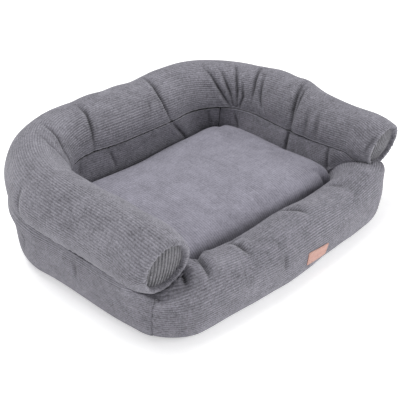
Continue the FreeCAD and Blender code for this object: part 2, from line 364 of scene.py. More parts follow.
def bolster_grid(distance):
    """Coarse grid of the bolster: visible columns from outer to inner seam, then the hidden underside."""
    middle, outward, share = bolster_line(station_at(distance))
    radius, height = bolster_size(share)
    from_end = np.minimum(distance, bolster_keys[-1] - distance)
    radius = radius - end_taper(from_end)
    across = np.linspace(0, 1, bolster_columns)
    low = outer_seam(from_end)[:, None]
    high = inner_seam(share, from_end)[:, None]
    angle = low + (high - low) * across
    open_end = np.clip(from_end / 0.05, 0, 1)[:, None]
    tuck = outer_tuck * np.exp(-(angle - low) * radius[:, None] / tuck_reach)
    tuck = tuck + inner_tuck * np.exp(-(high - angle) * radius[:, None] / tuck_reach)
    reach = radius[:, None] - open_end * tuck
    station = station_at(distance)[:, None]
    inner_side = smooth((angle - math.radians(70)) / math.radians(90))
    reach = reach - corner_pull * corner_weight(station) * inner_side
    for at, width, centre, spread, amount in bolster_swell:
        turn = angle - math.radians(centre)
        reach = reach + amount * np.exp(-((station - at) / width) ** 2 - (turn / spread) ** 2)
    visible = polar(middle, outward, height, reach, angle)
    under = np.linspace(0, 1, hidden_columns + 2)[1:-1]
    round_angle = high + (2 * math.pi + low - high) * under
    round_part = polar(middle, outward, height, np.broadcast_to(radius[:, None], round_angle.shape), round_angle)
    chord = visible[:, -1:] + (visible[:, :1] - visible[:, -1:]) * under[None, :, None]
    openness = open_end[:, :, None]
    hidden = chord * openness + round_part * (1 - openness)
    return np.concatenate([visible, hidden], axis=1)


def polar(middle, outward, height, radius, angle):
    """Points round a centre line: angle 0 points outward, a quarter turn points up."""
    out = radius * np.cos(angle)
    plan = middle[:, None, :] + outward[:, None, :] * out[:, :, None]
    up = height[:, None] + radius * np.sin(angle)
    return np.concatenate([plan, up[:, :, None]], axis=2)


def smooth(value):
    """0 to 1 with a soft start and end."""
    value = np.clip(value, 0, 1)
    return value * value * (3 - 2 * value)


def lumps(points, size, seed):
    """Smooth seeded noise from -1 to 1 over points in space."""
    lattice = np.random.default_rng(seed).uniform(-1, 1, (24, 24, 24))
    scaled = points / size + 50.5
    cell = np.floor(scaled).astype(int)
    part = smooth(scaled - cell)
    total = 0.0
    for corner in np.ndindex(2, 2, 2):
        weight = np.prod(np.where(corner, part, 1 - part), axis=-1)
        index = (cell + corner) % 24
        total = total + weight * lattice[index[..., 0], index[..., 1], index[..., 2]]
    return total


coarse_step = 0.007
bolster_distance = np.linspace(0, bolster_keys[-1], int(bolster_keys[-1] / coarse_step))
bolster_start = bolster_grid(bolster_distance)
rough = lumps(bolster_start, 0.12, 3) * 0.0034 + lumps(bolster_start, 0.055, 4) * 0.0018
bolster_start += normals_of(bolster_start) * rough[:, :, None]
print("bolster grid", bolster_start.shape)

# %% [markdown]
# ## Letting the stuffing push
# Real stuffing presses outwards evenly and the seams hold. The same is done here: a short cloth run with
# air pressure and no gravity, with the seams and everything hidden held still. The pattern that the
# cloth wants to be can differ from the shape it starts in. For the bolster it is a gentler bend than the
# corner of the bed, which leaves spare cloth on the inside of each corner, and it gathers there by itself.


# %% Cloth run
def run_cloth(thing, grid, held, pattern, pressure, reach, tension=22, bending=0.6):
    """Runs a grid's mesh as cloth over 20 frames and gives the grid back, moved by no more than a reach."""
    thing.shape_key_add(name="start")
    key = thing.shape_key_add(name="pattern")
    key.data.foreach_set("co", pattern.ravel())
    key.value = 0
    thing.vertex_groups.new(name="held").add(np.flatnonzero(held).tolist(), 1.0, "REPLACE")
    cloth = thing.modifiers.new("cloth", "CLOTH")
    settings = cloth.settings
    settings.quality, settings.mass, settings.air_damping = 5, 0.25, 3
    settings.tension_stiffness, settings.compression_stiffness = tension, 12
    settings.shear_stiffness, settings.bending_stiffness = 6, bending
    settings.use_pressure, settings.uniform_pressure_force = True, pressure
    settings.vertex_group_mass = "held"
    settings.rest_shape_key = key
    settings.effector_weights.gravity = 0
    cloth.collision_settings.use_collision = False
    cloth.point_cache.frame_start, cloth.point_cache.frame_end = 1, 20
    for frame_number in range(1, 21):
        bpy.context.scene.frame_set(frame_number)
    moved = points_of(thing.evaluated_get(bpy.context.evaluated_depsgraph_get()).data)
    bpy.context.scene.frame_set(1)
    name, mesh = thing.name, thing.data
    bpy.data.objects.remove(thing)
    bpy.data.meshes.remove(mesh)
    shift = moved[:grid.size // 3].reshape(grid.shape) - grid
    length = np.linalg.norm(shift, axis=2, keepdims=True)
    print(name, "moved by up to", round(float(length.max()), 4))
    return grid + shift * (np.tanh(length / reach) * reach / np.maximum(length, 1e-9))


def settle(name, grid, held, pattern, pressure, reach):
    """Runs a closed coarse grid as cloth, with the middles of its two ends held too."""
    thing = grid_mesh(name, grid, np.arange(len(grid)) * 1.0, np.arange(grid.shape[1] + 1) * 1.0)
    ends = [pattern[0].mean(axis=0), pattern[-1].mean(axis=0)]
    return run_cloth(thing, grid, np.append(held, [True, True]), np.vstack([pattern.reshape(-1, 3), ends]),
                     pressure, reach)


def gentler_bend(grid, turn):
    """The bolster's pattern: the same cross-sections along a line whose corners turn by less."""
    middle, outward, _ = bolster_line(station_at(bolster_distance))
    outer_radius = bolster_bend + back_radius
    folded = np.minimum(bolster_distance, bolster_keys[-1] - bolster_distance)
    into = np.clip((folded - arm_run) / bend_run, 0, 1)
    radius = outer_radius * 90 / turn - back_radius
    step = np.diff(bolster_distance)[0]
    bend_share = ((into > 0) & (into < 1)) * (radius * math.radians(turn) / bend_run - 1) + 1
    heading = np.radians(turn * (1 - into))
    left = bolster_distance < bolster_keys[3]
    go = np.column_stack([np.cos(heading), np.where(left, np.sin(heading), -np.sin(heading))])
    line = np.cumsum(go * (step * bend_share)[:, None], axis=0)
    out = np.column_stack([-go[:, 1], go[:, 0]])
    offset = ((grid[:, :, :2] - middle[:, None, :]) * outward[:, None, :]).sum(axis=2)
    plan = line[:, None, :] + out[:, None, :] * offset[:, :, None]
    return np.concatenate([plan, grid[:, :, 2:]], axis=2)


held = np.zeros(bolster_start.shape[:2], bool)
held[:, bolster_columns - 1:] = True
held[:, 0] = True
held[:2] = held[-2:] = True
bolster_soft = settle("bolster_cloth", bolster_start, held, gentler_bend(bolster_start, 62), 3.0, 0.006)

# %% [markdown]
# ## Creases, puckers and ribs
# A crease in stuffed cord is a narrow valley with a soft ridge on each side. Each one is a line of points
# laid near the cloth, and everything closer than its width sinks. Puckers are smaller: they stand at a
# seam and fade away from it. The ribs come last so that they follow every fold below them.
#
# Each point also keeps a value named fold: how deep in a fold it lies, with painted shade added on the
# inner sides of the bolster and walls and on the cushion's low edges. The cord material darkens where it
# is high, which paints shade into the creases, and lightens where it is below nought, which paints light
# in a narrow band along the bolster's seams.


# %% Folding tools
def press_lines(points, normals, lines):
    """Sinks a grid along crease lines: each is (depth, width, points in mm); a negative depth is a bulge. It also
    gives each point a painted-shade value, deepest in the creases.
    """
    shape = points.shape
    flat = points.reshape(-1, 3).copy()
    fold = np.zeros(len(flat))
    normal = normals.reshape(-1, 3)
    tree = BVHTree.FromPolygons(flat.tolist(), grid_quads(shape[0], shape[1]))
    for depth, width, line in lines:
        line = np.array(line) / 1000
        reach = np.concatenate([[0], np.cumsum(np.linalg.norm(np.diff(line, axis=0), axis=1))])
        steps = np.linspace(0, reach[-1], max(6, int(reach[-1] / 0.0025)))
        spots = np.column_stack([np.interp(steps, reach, line[:, k]) for k in range(3)])
        spots = np.array([tree.find_nearest(Vector(spot))[0] for spot in spots])
        near = np.flatnonzero(((flat >= spots.min(axis=0) - 0.05) & (flat <= spots.max(axis=0) + 0.05)).all(axis=1))
        if not len(near):
            continue
        away = np.linalg.norm(flat[near, None, :] - spots[None, :, :], axis=2)
        nearest = away.argmin(axis=1)
        away = away.min(axis=1) / width
        share = nearest / (len(spots) - 1)
        strength = np.sin(np.clip(share, 0.04, 0.96) * math.pi) ** 0.6
        valley = (0.75 * np.exp(-(away / 0.7) ** 2) + 0.25 * np.exp(-(away / 2.2) ** 2)
                  - 0.3 * np.exp(-((away - 2.6) / 1.1) ** 2))
        flat[near] -= normal[near] * (depth * strength * valley)[:, None]
        # Painted shade: the value kept here darkens the cloth along each crease in the cord material.
        fold[near] = np.maximum(fold[near], strength * np.exp(-(away / 0.78) ** 2) * min(1.0, depth / 0.005))
    return flat.reshape(shape), fold


def uneven_rows(length, count, seams, lines):
    """Row positions from 0 to 1 along a piece, closer together wherever a crease crosses it."""
    where = np.linspace(0, 1, 1200)
    crowd = np.ones(1200)
    for depth, width, line in lines:
        for point in np.array(line) / 1000:
            nearest = np.linalg.norm(seams - point, axis=-1).min(axis=1).argmin() / (len(seams) - 1)
            crowd = np.maximum(crowd, 1 + 2.4 * np.exp(-((where - nearest) * length / 0.011) ** 2))
    total = np.concatenate([[0], np.cumsum((crowd[1:] + crowd[:-1]) / 2)])
    return np.interp(np.linspace(0, total[-1], count), total, where)


def keep_fold_shade(thing, fold):
    """Stores the fold value for the cord material: how deep in a fold each point lies plus painted shade, below
    nought where light is painted along the bolster's seams.
    """
    layer = thing.data.attributes.new("fold", "FLOAT", "POINT")
    values = np.zeros(len(thing.data.vertices), np.float32)
    values[:len(fold)] = fold
    layer.data.foreach_set("value", values)


def puckers(along, away, size, height, fade, seed):
    """Height of small folds that stand at a seam: a wave of uneven length along it, fading away from it."""
    spacing = np.random.default_rng(seed).uniform(0.6, 1.5, 4000) * size
    phase = np.interp(along, np.cumsum(spacing), np.arange(4000) * 2 * math.pi)
    strong = 0.65 + 0.35 * np.sin(along / size * 0.37 + seed)
    return height * strong * (np.cos(phase) - 0.4) * np.exp(-away / fade)


# %% Bolster cover
bolster_creases = [
    (0.007, 0.0042, [(72, 225, 222), (66, 196, 226), (63, 177, 219), (61, 161, 207), (63, 146, 183),
                      (69, 141, 161), (74, 139, 150)]),
    (0.006, 0.0045, [(-110, 215, 226), (-110, 199, 227), (-111, 175, 218), (-117, 157, 199),
                      (-122, 146, 174), (-124, 142, 152)]),
    (0.005, 0.0042, [(-206, 190, 222), (-206, 170, 222), (-200, 142, 207), (-203, 124, 190),
                      (-200, 115, 168), (-196, 112, 148)]),
    (0.003, 0.004, [(-236, 150, 222), (-232, 124, 214), (-224, 104, 194), (-216, 95, 168)]),
    (0.0022, 0.0045, [(30, 165, 211), (25, 152, 196), (22, 143, 181)]),
    (0.0062, 0.0036, [(196, 172, 226), (199, 150, 215), (201, 126, 188), (207, 109, 162), (212, 98, 142)]),
    (0.0055, 0.0034, [(221, 150, 222), (221, 140, 219), (214, 109, 184), (214, 95, 145)]),
    (0.0062, 0.0036, [(258, 138, 226), (251, 126, 225), (225, 98, 189), (216, 90, 146)]),
    (0.005, 0.0034, [(240, 96, 202), (226, 83, 177), (217, 87, 146)]),
    (0.006, 0.0038, [(292, 90, 222), (281, 84, 222), (243, 67, 198), (229, 62, 166)]),
    (0.0045, 0.0038, [(270, 60, 218), (257, 55, 209), (235, 43, 179), (229, 33, 158)]),
    (0.01, 0.0055, [(300, -22, 212), (268, -33, 210), (245, -41, 196), (229, -47, 164), (226, -46, 142)]),
    (0.005, 0.004, [(290, -36, 210), (262, -46, 207), (240, -50, 190), (230, -53, 170)]),
    (0.0028, 0.0075, [(245, -76, 196), (234, -81, 178), (229, -83, 142)]),
    (0.0028, 0.0075, [(243, -102, 192), (233, -107, 175), (229, -109, 145)]),
    (0.003, 0.005, [(-160, 245, 205), (-150, 262, 180), (-140, 268, 150)]),
    (0.0035, 0.005, [(90, 262, 190), (96, 272, 160), (100, 270, 132)]),
    (0.003, 0.005, [(-330, 60, 190), (-345, 66, 160), (-345, 70, 130)]),
    (0.003, 0.006, [(-232, -150, 176), (-228, -154, 158), (-230, -160, 142)]),
    (0.0025, 0.004, [(247, -226, 184), (240, -222, 165), (238, -220, 148)]),
]
bolster_ribs, hidden_ribs = 53, 20
bolster_rows = 410
visible_columns = np.linspace(0, bolster_columns - 1, bolster_ribs * ribs_fine + 1)
under_columns = np.linspace(bolster_columns - 1, bolster_columns + hidden_columns, hidden_ribs + 1)[1:-1]
fine = cubic(bolster_soft, np.concatenate([visible_columns, under_columns]), closed=True)
row_at = uneven_rows(bolster_keys[-1], bolster_rows, bolster_soft, bolster_creases)
fine = cubic_down(fine, row_at * (len(bolster_soft) - 1))
fine_distance = row_at * bolster_keys[-1]
rib_count = np.concatenate([visible_columns / (bolster_columns - 1) * bolster_ribs,
                            bolster_ribs + np.arange(1, hidden_ribs)])
rib_count = np.append(rib_count, bolster_ribs + hidden_ribs)
fine_normals = normals_of(fine)
if (fine_normals[bolster_rows // 2, 150] @ np.array([0, 0, 1])) < 0:
    fine_normals = -fine_normals
from_outer = np.minimum(rib_count[:-1], bolster_ribs) * rib_pitch
from_inner = np.abs(bolster_ribs - rib_count[:-1]) * rib_pitch
# Painted light: a lighter band just above the outer seam, where the ridge catches light, and along the inner seam,
# where the crevice would be in shade. It is taken off again inside the creases.
wear_and_seam_light = np.exp(-((from_outer - 0.003) / 0.0026) ** 2)[None, :] * smooth(fine_distance / 0.06)[:, None]
wear_and_seam_light = 0.32 * wear_and_seam_light + 0.30 * np.exp(-(from_inner / 0.003) ** 2)[None, :]
station = station_at(fine_distance)
at_corner = np.exp(-((np.abs(station - 3) - 1.5) / 0.42) ** 2)[:, None]
fold = puckers(fine_distance[:, None], from_outer[None, :], 0.021, 0.0006, 0.011, 5)
fold = fold + puckers(fine_distance[:, None], from_inner[None, :], 0.023, 0.0002, 0.013, 6) * (1 + 2.6 * at_corner)
fine = fine + fine_normals * fold[:, :, None]
fine, bolster_fold_shade = press_lines(fine, fine_normals, bolster_creases)
# Painted shade: the inner half of the tube is darkened, except near the left arm's end.
painted_inner_shade = (smooth((rib_count[:-1] / bolster_ribs - 0.55) / 0.25)[None, :]
              * smooth((fine_distance / arm_run - 0.6) / 0.5)[:, None])
wear_and_seam_light = wear_and_seam_light * (1 - np.clip(bolster_fold_shade.reshape(wear_and_seam_light.shape), 0, 1))
bolster_fold_shade = bolster_fold_shade + 0.15 * painted_inner_shade.ravel() - wear_and_seam_light.ravel()
fine_normals = np.sign((normals_of(fine) * fine_normals).sum(axis=2, keepdims=True)) * normals_of(fine)
fine = fine + fine_normals * (rib_depth * rib_height(rib_count[:-1])[None, :, None])

# %% [markdown]
# ## The rolled ends
# At each arm's end the cover turns in over a thin roll and the round end panel sits a little inside it.
# The roll is made by carrying the last ring of the grid forward, round and back in. The whole end leans
# so that it faces slightly down.

# %% Bolster ends
end_lean = math.tan(math.radians(12))
roll_radius = 0.0042
panel_recess = 0.006


def lean_end(points, along_y, centre_z):
    """Shears points near an arm's end so that its face looks slightly down."""
    lean = np.exp(-np.maximum(along_y - arm_end_y, 0) / 0.035)
    points[..., 1] -= end_lean * (points[..., 2] - centre_z) * lean
    return points


def rolled_end(ring, seed):
    """Rows that carry an end ring over the roll and behind the end panel, from the outside in."""
    centre = ring.mean(axis=0)
    spoke = (ring - centre) * [1, 0, 1]
    reach = np.linalg.norm(spoke, axis=1, keepdims=True)
    spoke = spoke / reach
    rows = []
    turn_round = np.arctan2(spoke[:, 2], spoke[:, 0])
    pinch = np.random.default_rng(seed)
    waves = sum(pinch.uniform(0.3, 1) * np.cos(turn_round * k + pinch.uniform(0, 6.28)) for k in (17, 23, 29, 38))
    for angle in np.radians([25, 50, 75, 100, 125, 150, 180]):
        height = roll_radius * (1 - math.cos(angle))
        share = math.sin(angle / 2)
        radius = reach - height - 0.00045 * waves[:, None] * share
        row = centre + spoke * radius
        row[:, 1] = centre[1] - roll_radius * math.sin(angle) * (1 + 0.12 * waves)
        rows.append(row)
    for inward, back in ((0.0092, 0.003), (0.0095, 0.010), (0.013, 0.0125), (0.025, 0.0125)):
        row = centre + spoke * (reach - inward)
        row[:, 1] = centre[1] + back
        rows.append(row)
    return np.array(rows)


left_end = rolled_end(fine[0], 21)[::-1]
right_end = rolled_end(fine[-1], 22)
fine = np.concatenate([left_end, fine, right_end])
end_rows = len(left_end)
bolster_lengths = np.concatenate([-np.arange(end_rows, 0, -1) * 0.002, fine_distance,
                                  fine_distance[-1] + np.arange(1, end_rows + 1) * 0.002])
fine = lean_end(fine, fine[..., 1].copy(), arm_z)
bolster = grid_mesh("bolster", fine, bolster_lengths, rib_count)
no_fold = np.zeros(end_rows * fine.shape[1])
keep_fold_shade(bolster, np.concatenate([no_fold, bolster_fold_shade, no_fold]))
bolster_under = BVHTree.FromObject(bolster, bpy.context.evaluated_depsgraph_get())
print("bolster spans", np.round(fine.min(axis=(0, 1)), 3), np.round(fine.max(axis=(0, 1)), 3))

# %% [markdown]
# ## The stuffed walls
# Each wall is a closed tube of cloth too, but not a round one. Its outer face swells out over the floor
# and tucks in under the bolster's seam, its inner face drops into the well, and its top is pressed flat
# by the bolster. One table of (offset outward, height, share of the way to the seam) draws the outer
# face for every station, so that it flows round the corners.


# %% Wall sections
outer_table = np.array([
    [-0.024, 0.0027, 0], [-0.018, 0.0045, 0], [-0.0095, 0.0115, 0], [-0.003, 0.025, 0], [0, 0.044, 0.03],
    [0.002, 0.064, 0.16], [0.0030, 0.084, 0.47], [0.0025, 0.099, 0.79], [0.0008, 0.1105, 0.97]])
inner_table = np.array([
    [0.10, 0.92, 0.0008], [0.28, 0.72, 0.0030], [0.53, 0.42, 0.0048], [0.77, 0.15, 0.0050], [0.90, -0.12, 0.004],
    [0.96, -0.45, 0.001], [1.0, -0.86, 0.0]])
outer_count, top_count, inner_count, bottom_count = 20, 12, 26, 8
cushion_level = 0.088


def seam_points(station):
    """The bolster's outer and inner seams at stations, as points in space, drawn in by their tuck."""
    middle, outward, share = bolster_line(station)
    radius, height = bolster_size(share)
    distance = np.interp(station, range(7), bolster_keys)
    from_end = np.minimum(distance, bolster_keys[-1] - distance)
    radius = radius - end_taper(from_end)
    pull = corner_pull * corner_weight(station)
    angle = np.column_stack([outer_seam(from_end), inner_seam(share, from_end)])
    seams = polar(middle, outward, height, np.column_stack([radius - outer_tuck, radius - inner_tuck - pull]), angle)
    return seams[:, 0], seams[:, 1]


# Swells of a wall low down and high up: (station, width, height).
low_swell = [(1.2, 0.3, 0.009), (0.6, 0.3, -0.003), (5.6, 0.4, -0.002)]
high_swell = [(1.22, 0.32, 0.004), (6.0, 0.5, -0.005)]


def side_wall_grid(station):
    """Closed sections of a wall that carries the bolster: outer face, top, inner face and base."""
    outline, well = base_line.at(station, base_line.u_keys), well_line.at(station, well_line.u_keys)
    outward = outline - well
    outward /= np.linalg.norm(outward, axis=1, keepdims=True)
    low, high = (sum(amount * np.exp(-((station - at) / width) ** 2) for at, width, amount in swell)
                 for swell in (low_swell, high_swell))
    outer, inner = seam_points(station)
    rows = len(station)
    keys = np.zeros((rows, len(outer_table) + 1, 3))
    offset, height, share = outer_table.T
    upper = smooth((height - 0.03) / 0.06)[None, :, None]
    swell = low[:, None, None] * (1 - upper) + high[:, None, None] * upper
    keys[:, :-1, :2] = outline[:, None] + outward[:, None] * (offset[None, :, None] + swell)
    keys[:, :-1, :2] += (outer[:, None, :2] - outline[:, None]) * share[None, :, None]
    distance = np.interp(station, range(7), bolster_keys)
    under_end = 0.008 * np.exp(-(np.minimum(distance, bolster_keys[-1] - distance) / 0.02) ** 2)[:, None]
    keys[:, :-1, 2] = np.minimum(height, outer[:, 2:] - 0.0015 - under_end - 0.012 * (1 - share))
    keys[:, -1] = outer
    keys[:, -1, 2:] -= 0.0008 + under_end
    face = spline_rows(keys, outer_count)
    keys = np.zeros((rows, len(inner_table) + 3, 3))
    keys[:, 0] = inner - [0, 0, 0.0002]
    share, drop, bulge = inner_table.T
    keys[:, 1:-2, :2] = inner[:, None, :2] + (well - inner[:, :2])[:, None] * share[None, :, None]
    keys[:, 1:-2, :2] -= outward[:, None] * bulge[None, :, None]
    above = cushion_level + (inner[:, 2:] - cushion_level) * np.maximum(drop, 0)[None, :]
    keys[:, 1:-2, 2] = above + cushion_level * np.minimum(drop, 0)[None, :]
    keys[:, -2, :2], keys[:, -2, 2] = well + outward * 0.0008, 0.0075
    keys[:, -1, :2], keys[:, -1, 2] = well + outward * 0.004, 0.0027
    inside = spline_rows(keys, inner_count)
    over = np.linspace(0, 1, top_count + 2)[1:-1][None, :, None]
    top = face[:, -1:] * (1 - over) + inside[:, :1] * over - [0, 0, 0.0012]
    under = np.linspace(0, 1, bottom_count + 2)[1:-1][None, :, None]
    base = inside[:, -1:] * (1 - under) + face[:, :1] * under
    return np.concatenate([face, top, inside, base], axis=1)


front_table = np.array([
    [-0.024, 0.0027, 1], [-0.018, 0.0045, 1], [-0.0095, 0.0115, 1], [-0.003, 0.025, 1], [0, 0.044, 1],
    [0.001, 0.062, 1], [0, 0.080, 0.985], [0, 0.096, 0.925], [0, 0.1075, 0.80], [0, 0.1120, 0.64],
    [0, 0.1112, 0.50], [0, 0.1062, 0.34], [0, 0.0985, 0.20], [0, 0.0885, 0.105], [0, 0.076, 0.055],
    [0, 0.060, 0.022], [0, 0.036, 0.004], [0.0008, 0.0075, 0.0], [0.004, 0.0027, 0.0]])


def front_wall_grid(station):
    """Closed sections of the front wall: one skin over its crown, and its base."""
    outline, well = base_line.at(station, base_line.front_keys), well_line.at(station, well_line.front_keys)
    across = outline - well
    outward = across / np.linalg.norm(across, axis=1, keepdims=True)
    offset, height, share = front_table.T
    keys = np.zeros((len(station), len(front_table), 3))
    keys[:, :, :2] = well[:, None] + across[:, None] * share[None, :, None] + outward[:, None] * offset[None, :, None]
    crest = smooth((height[None] - 0.07) / 0.04)
    keys[:, :, 2] = height * (1 + 0.045 * np.sin(well[:, :1] * 31 + 0.9) * crest)
    keys[:, :, 2] += 0.007 * smooth((well[:, :1] - 0.06) / 0.14) * crest
    for seam_station, row in ((0.0, 0), (6.0, -1)):
        partner = side_wall_grid(np.array([seam_station, abs(seam_station - 0.01)]))[0, :outer_count]
        wanted = np.column_stack([np.interp(height[:8], partner[:, 2], partner[:, k]) for k in (0, 1)])
        shift = wanted - keys[row, :8, :2]
        away = np.linalg.norm(outline - outline[row], axis=1)
        keys[:, :8, :2] += shift[None] * np.exp(-(away / 0.045) ** 2)[:, None, None]
    skin = spline_rows(keys, 56)
    under = np.linspace(0, 1, bottom_count + 2)[1:-1][None, :, None]
    base = skin[:, -1:] * (1 - under) + skin[:, :1] * under
    return np.concatenate([skin, base], axis=1)


def press_under_bolster(grid, gap=0.0012, from_height=0.085):
    """Lowers what stands under or inside the bolster to just below it."""
    flat = grid.reshape(-1, 3)
    for k, point in enumerate(flat):
        if point[2] < from_height or abs(point[0]) > base_half + 0.03:
            continue
        hit = bolster_under.ray_cast(Vector((point[0], point[1], 0.02)), Vector((0, 0, 1)))[0]
        if hit is not None and point[2] > hit.z - gap:
            flat[k, 2] = hit.z - gap
    return flat.reshape(grid.shape)


def outward_normals(grid):
    """Normals of a closed grid, pointing out of it."""
    normal = normals_of(grid)
    spoke = grid - grid.mean(axis=1, keepdims=True)
    return normal if (normal * spoke).sum() > 0 else -normal


def wall(name, make, stations, skin, ribs, rows, creases, seed):
    """A stuffed wall: coarse form, cloth run, finer grid, creases, ribs. skin lists its runs of columns."""
    start = press_under_bolster(make(stations))
    rough = lumps(start, 0.12, seed) * 0.0028 + lumps(start, 0.05, seed) * 0.0014
    start += outward_normals(start) * rough[:, :, None]
    step = np.linalg.norm(np.diff(start[:, 5], axis=0), axis=1).mean()
    held = np.zeros(start.shape[:2], bool)
    for first, last in skin["held"]:
        held[:, first:last] = True
    held[0] = held[-1] = True
    centre = start.mean(axis=(0, 1))
    soft = settle(name + "_cloth", start, held, centre + (start - centre) * 1.012, 2.2, 0.005)
    soft = press_under_bolster(soft)
    wanted, numbers = [], []
    number = 0
    for first, last, ribbed in skin["runs"]:
        count = ribs[len(wanted)]
        per = ribs_fine if ribbed else 2
        wanted.append(np.linspace(first, last, count * per + 1)[:-1])
        numbers.append(number + np.arange(count * per) / per)
        number += count
    wanted, numbers = np.concatenate(wanted), np.concatenate(numbers)
    fine = cubic(soft, wanted, closed=True)
    length = step * (len(start) - 1)
    row_at = uneven_rows(length, rows, soft, creases)
    fine = cubic_down(fine, row_at * (len(start) - 1))
    along = row_at * length
    normal = outward_normals(fine)
    seam_away = np.min([np.abs(numbers - at) for at in skin["seams"](ribs)], axis=0) * rib_pitch
    fold = puckers(along[:, None], seam_away[None, :], 0.020, 0.0006, 0.011, seed)
    from_end = np.minimum(along, length - along)
    fold = fold + puckers((numbers * rib_pitch)[None, :], from_end[:, None], 0.019, 0.0005, 0.014, seed + 1)
    fine = fine + normal * fold[:, :, None]
    fine = fine - normal * (0.0008 * np.exp(-(from_end / 0.0020)))[:, None, None]
    fine, folded = press_lines(fine, normal, creases)
    normal = outward_normals(fine)
    ribbed = np.concatenate([np.full(len(np.arange(ribs[k] * (ribs_fine if run[2] else 2))), run[2])
                             for k, run in enumerate(skin["runs"])])
    fine = fine + normal * (rib_depth * rib_height(numbers) * ribbed)[None, :, None]
    fine[..., 2] = np.maximum(fine[..., 2], 0.0025)
    thing = grid_mesh(name, fine, along, np.append(numbers, number))
    # Painted shade: the inner face, which drops into the well, is darkened by 0.15 through the fold value.
    shade = np.where(numbers >= skin["inside"](ribs), 0.15, 0.0)
    keep_fold_shade(thing, folded + np.broadcast_to(shade, fine.shape[:2]).ravel())
    return thing


inner_first = outer_count + top_count
side_skin = {
    "held": [(0, 2), (outer_count - 1, inner_first + 1), (inner_first + inner_count - 12, 200)],
    "runs": [(0, outer_count - 1, True), (outer_count - 1, inner_first, False),
             (inner_first, inner_first + inner_count - 1, True), (inner_first + inner_count - 1, 66, False)],
    "seams": lambda ribs: [ribs[0], ribs[0] + ribs[1]], "inside": lambda ribs: ribs[0] + ribs[1]}
front_skin = {
    "held": [(0, 2), (44, 100)],
    "runs": [(0, 55, True), (55, 64, False)],
    "seams": lambda ribs: [ribs[0] - 19], "inside": lambda ribs: ribs[0]}
front_creases = [
    (0.012, 0.0056, [(-174, -174, 88), (-186, -190, 107), (-199, -211, 112), (-208, -233, 113), (-216, -254, 105)]),
    (0.006, 0.0038, [(-192, -186, 104), (-206, -204, 113), (-212, -222, 115)]),
    (-0.0045, 0.0085, [(-226, -204, 112), (-230, -220, 113), (-233, -240, 109)]),
    (0.008, 0.0046, [(-246, -210, 115), (-248, -226, 114), (-256, -238, 107)]),
    (0.0035, 0.005, [(-170, -190, 106), (-176, -204, 114), (-186, -222, 116)]),
    (0.0065, 0.006, [(-122, -198, 104), (-119, -212, 109), (-120, -228, 109), (-121, -250, 103)]),
    (0.004, 0.008, [(-152, -200, 108), (-119, -197, 105), (-88, -194, 103)]),
    (0.0055, 0.0065, [(16, -198, 110), (20, -212, 117), (28, -225, 117), (34, -246, 112)]),
    (0.003, 0.009, [(150, -196, 112), (156, -214, 118), (162, -232, 115)]),
    (0.0025, 0.008, [(-60, -266, 80), (-58, -270, 50)]),
]
left_creases = [
    (0.003, 0.006, [(-322, -60, 100), (-326, -56, 70)]), (0.003, 0.006, [(-318, 90, 96), (-318, 96, 60)]),
]
right_creases = [
    (0.006, 0.0048, [(227, -44, 142), (225, -42, 130), (222, -41, 108), (222, -40, 88)]),
    (0.004, 0.004, [(229, -142, 140), (225, -144, 112), (224, -145, 84)]),
    (0.0036, 0.004, [(213, 95, 141), (215, 91, 120), (216, 88, 96)]),
]
back_creases = [
    (0.0048, 0.0042, [(74, 141, 150), (95, 142, 126), (115, 146, 102), (121, 148, 88)]),
    (0.003, 0.0042, [(-93, 144, 145), (-86, 142, 130), (-77, 145, 109), (-74, 148, 92)]),
    (0.0022, 0.005, [(173, 137, 150), (177, 134, 135), (184, 139, 103)]),
    (0.0022, 0.006, [(-160, 132, 140), (-158, 136, 110)]),
]
seam_gap = 0.004  # what each wall leaves open at a seam, as a share of a station
side_ribs, front_ribs = [29, 8, 30, 6], [63, 9]
left_wall, back_wall, right_wall = (
    wall(name, side_wall_grid, np.linspace(first, last, stations), side_skin, side_ribs, rows, creases, seed)
    for name, first, last, stations, rows, creases, seed in (
        ("left_wall", 0.0, 1.5 - seam_gap, 62, 120, left_creases, 31),
        ("back_wall", 1.5 + seam_gap, 4.5 - seam_gap, 100, 190, back_creases, 33),
        ("right_wall", 4.5 + seam_gap, 6.0, 62, 120, right_creases, 35)))
front_wall = wall("front_wall", front_wall_grid, np.linspace(seam_gap, 4 - seam_gap, 92), front_skin, front_ribs,
                  210, front_creases, 37)

# %% [markdown]
# ## The loose cushion
# The cushion is a box of cloth that has been overfilled: nearly flat on top, rolled over at its edges,
# and drawn in along the seam where the zip is. Its top is one grid whose outer columns run down the
# sides, so the ribs bend over the edge as cloth does. The plain base is a set of rings that starts on
# the same seam.


# %% Cushion
cushion_middle = np.array([0.0, (cushion_low[1] + cushion_high[1]) / 2])
cushion_half_size = np.array([cushion_high[0], (cushion_high[1] - cushion_low[1]) / 2])
seam_z = cushion_low[2]
edge_table = np.array([
    [-0.0012, 0.0], [0.0018, 0.007], [0.0048, 0.016], [0.0055, 0.025], [0.0030, 0.0335], [-0.0045, 0.0395],
    [-0.0150, 0.0432], [-0.0320, 0.0460], [-0.0600, 0.0485]])
edge_steps = 14
corner_round, base_drop = 0.036, 0.0378


def edge_run(half, stretch):
    """One side's profile from seam to middle: positions from the centre and heights over the seam."""
    reach = np.concatenate([[0], np.cumsum(np.hypot(*np.diff(edge_table, axis=0).T))])
    even = np.linspace(0, reach[-1], edge_steps)
    offset = np.interp(even, reach, edge_table[:, 0] * np.array([stretch if v > 0 else 1 for v in edge_table[:, 0]]))
    height = np.interp(even, reach, edge_table[:, 1])
    return half + offset, height


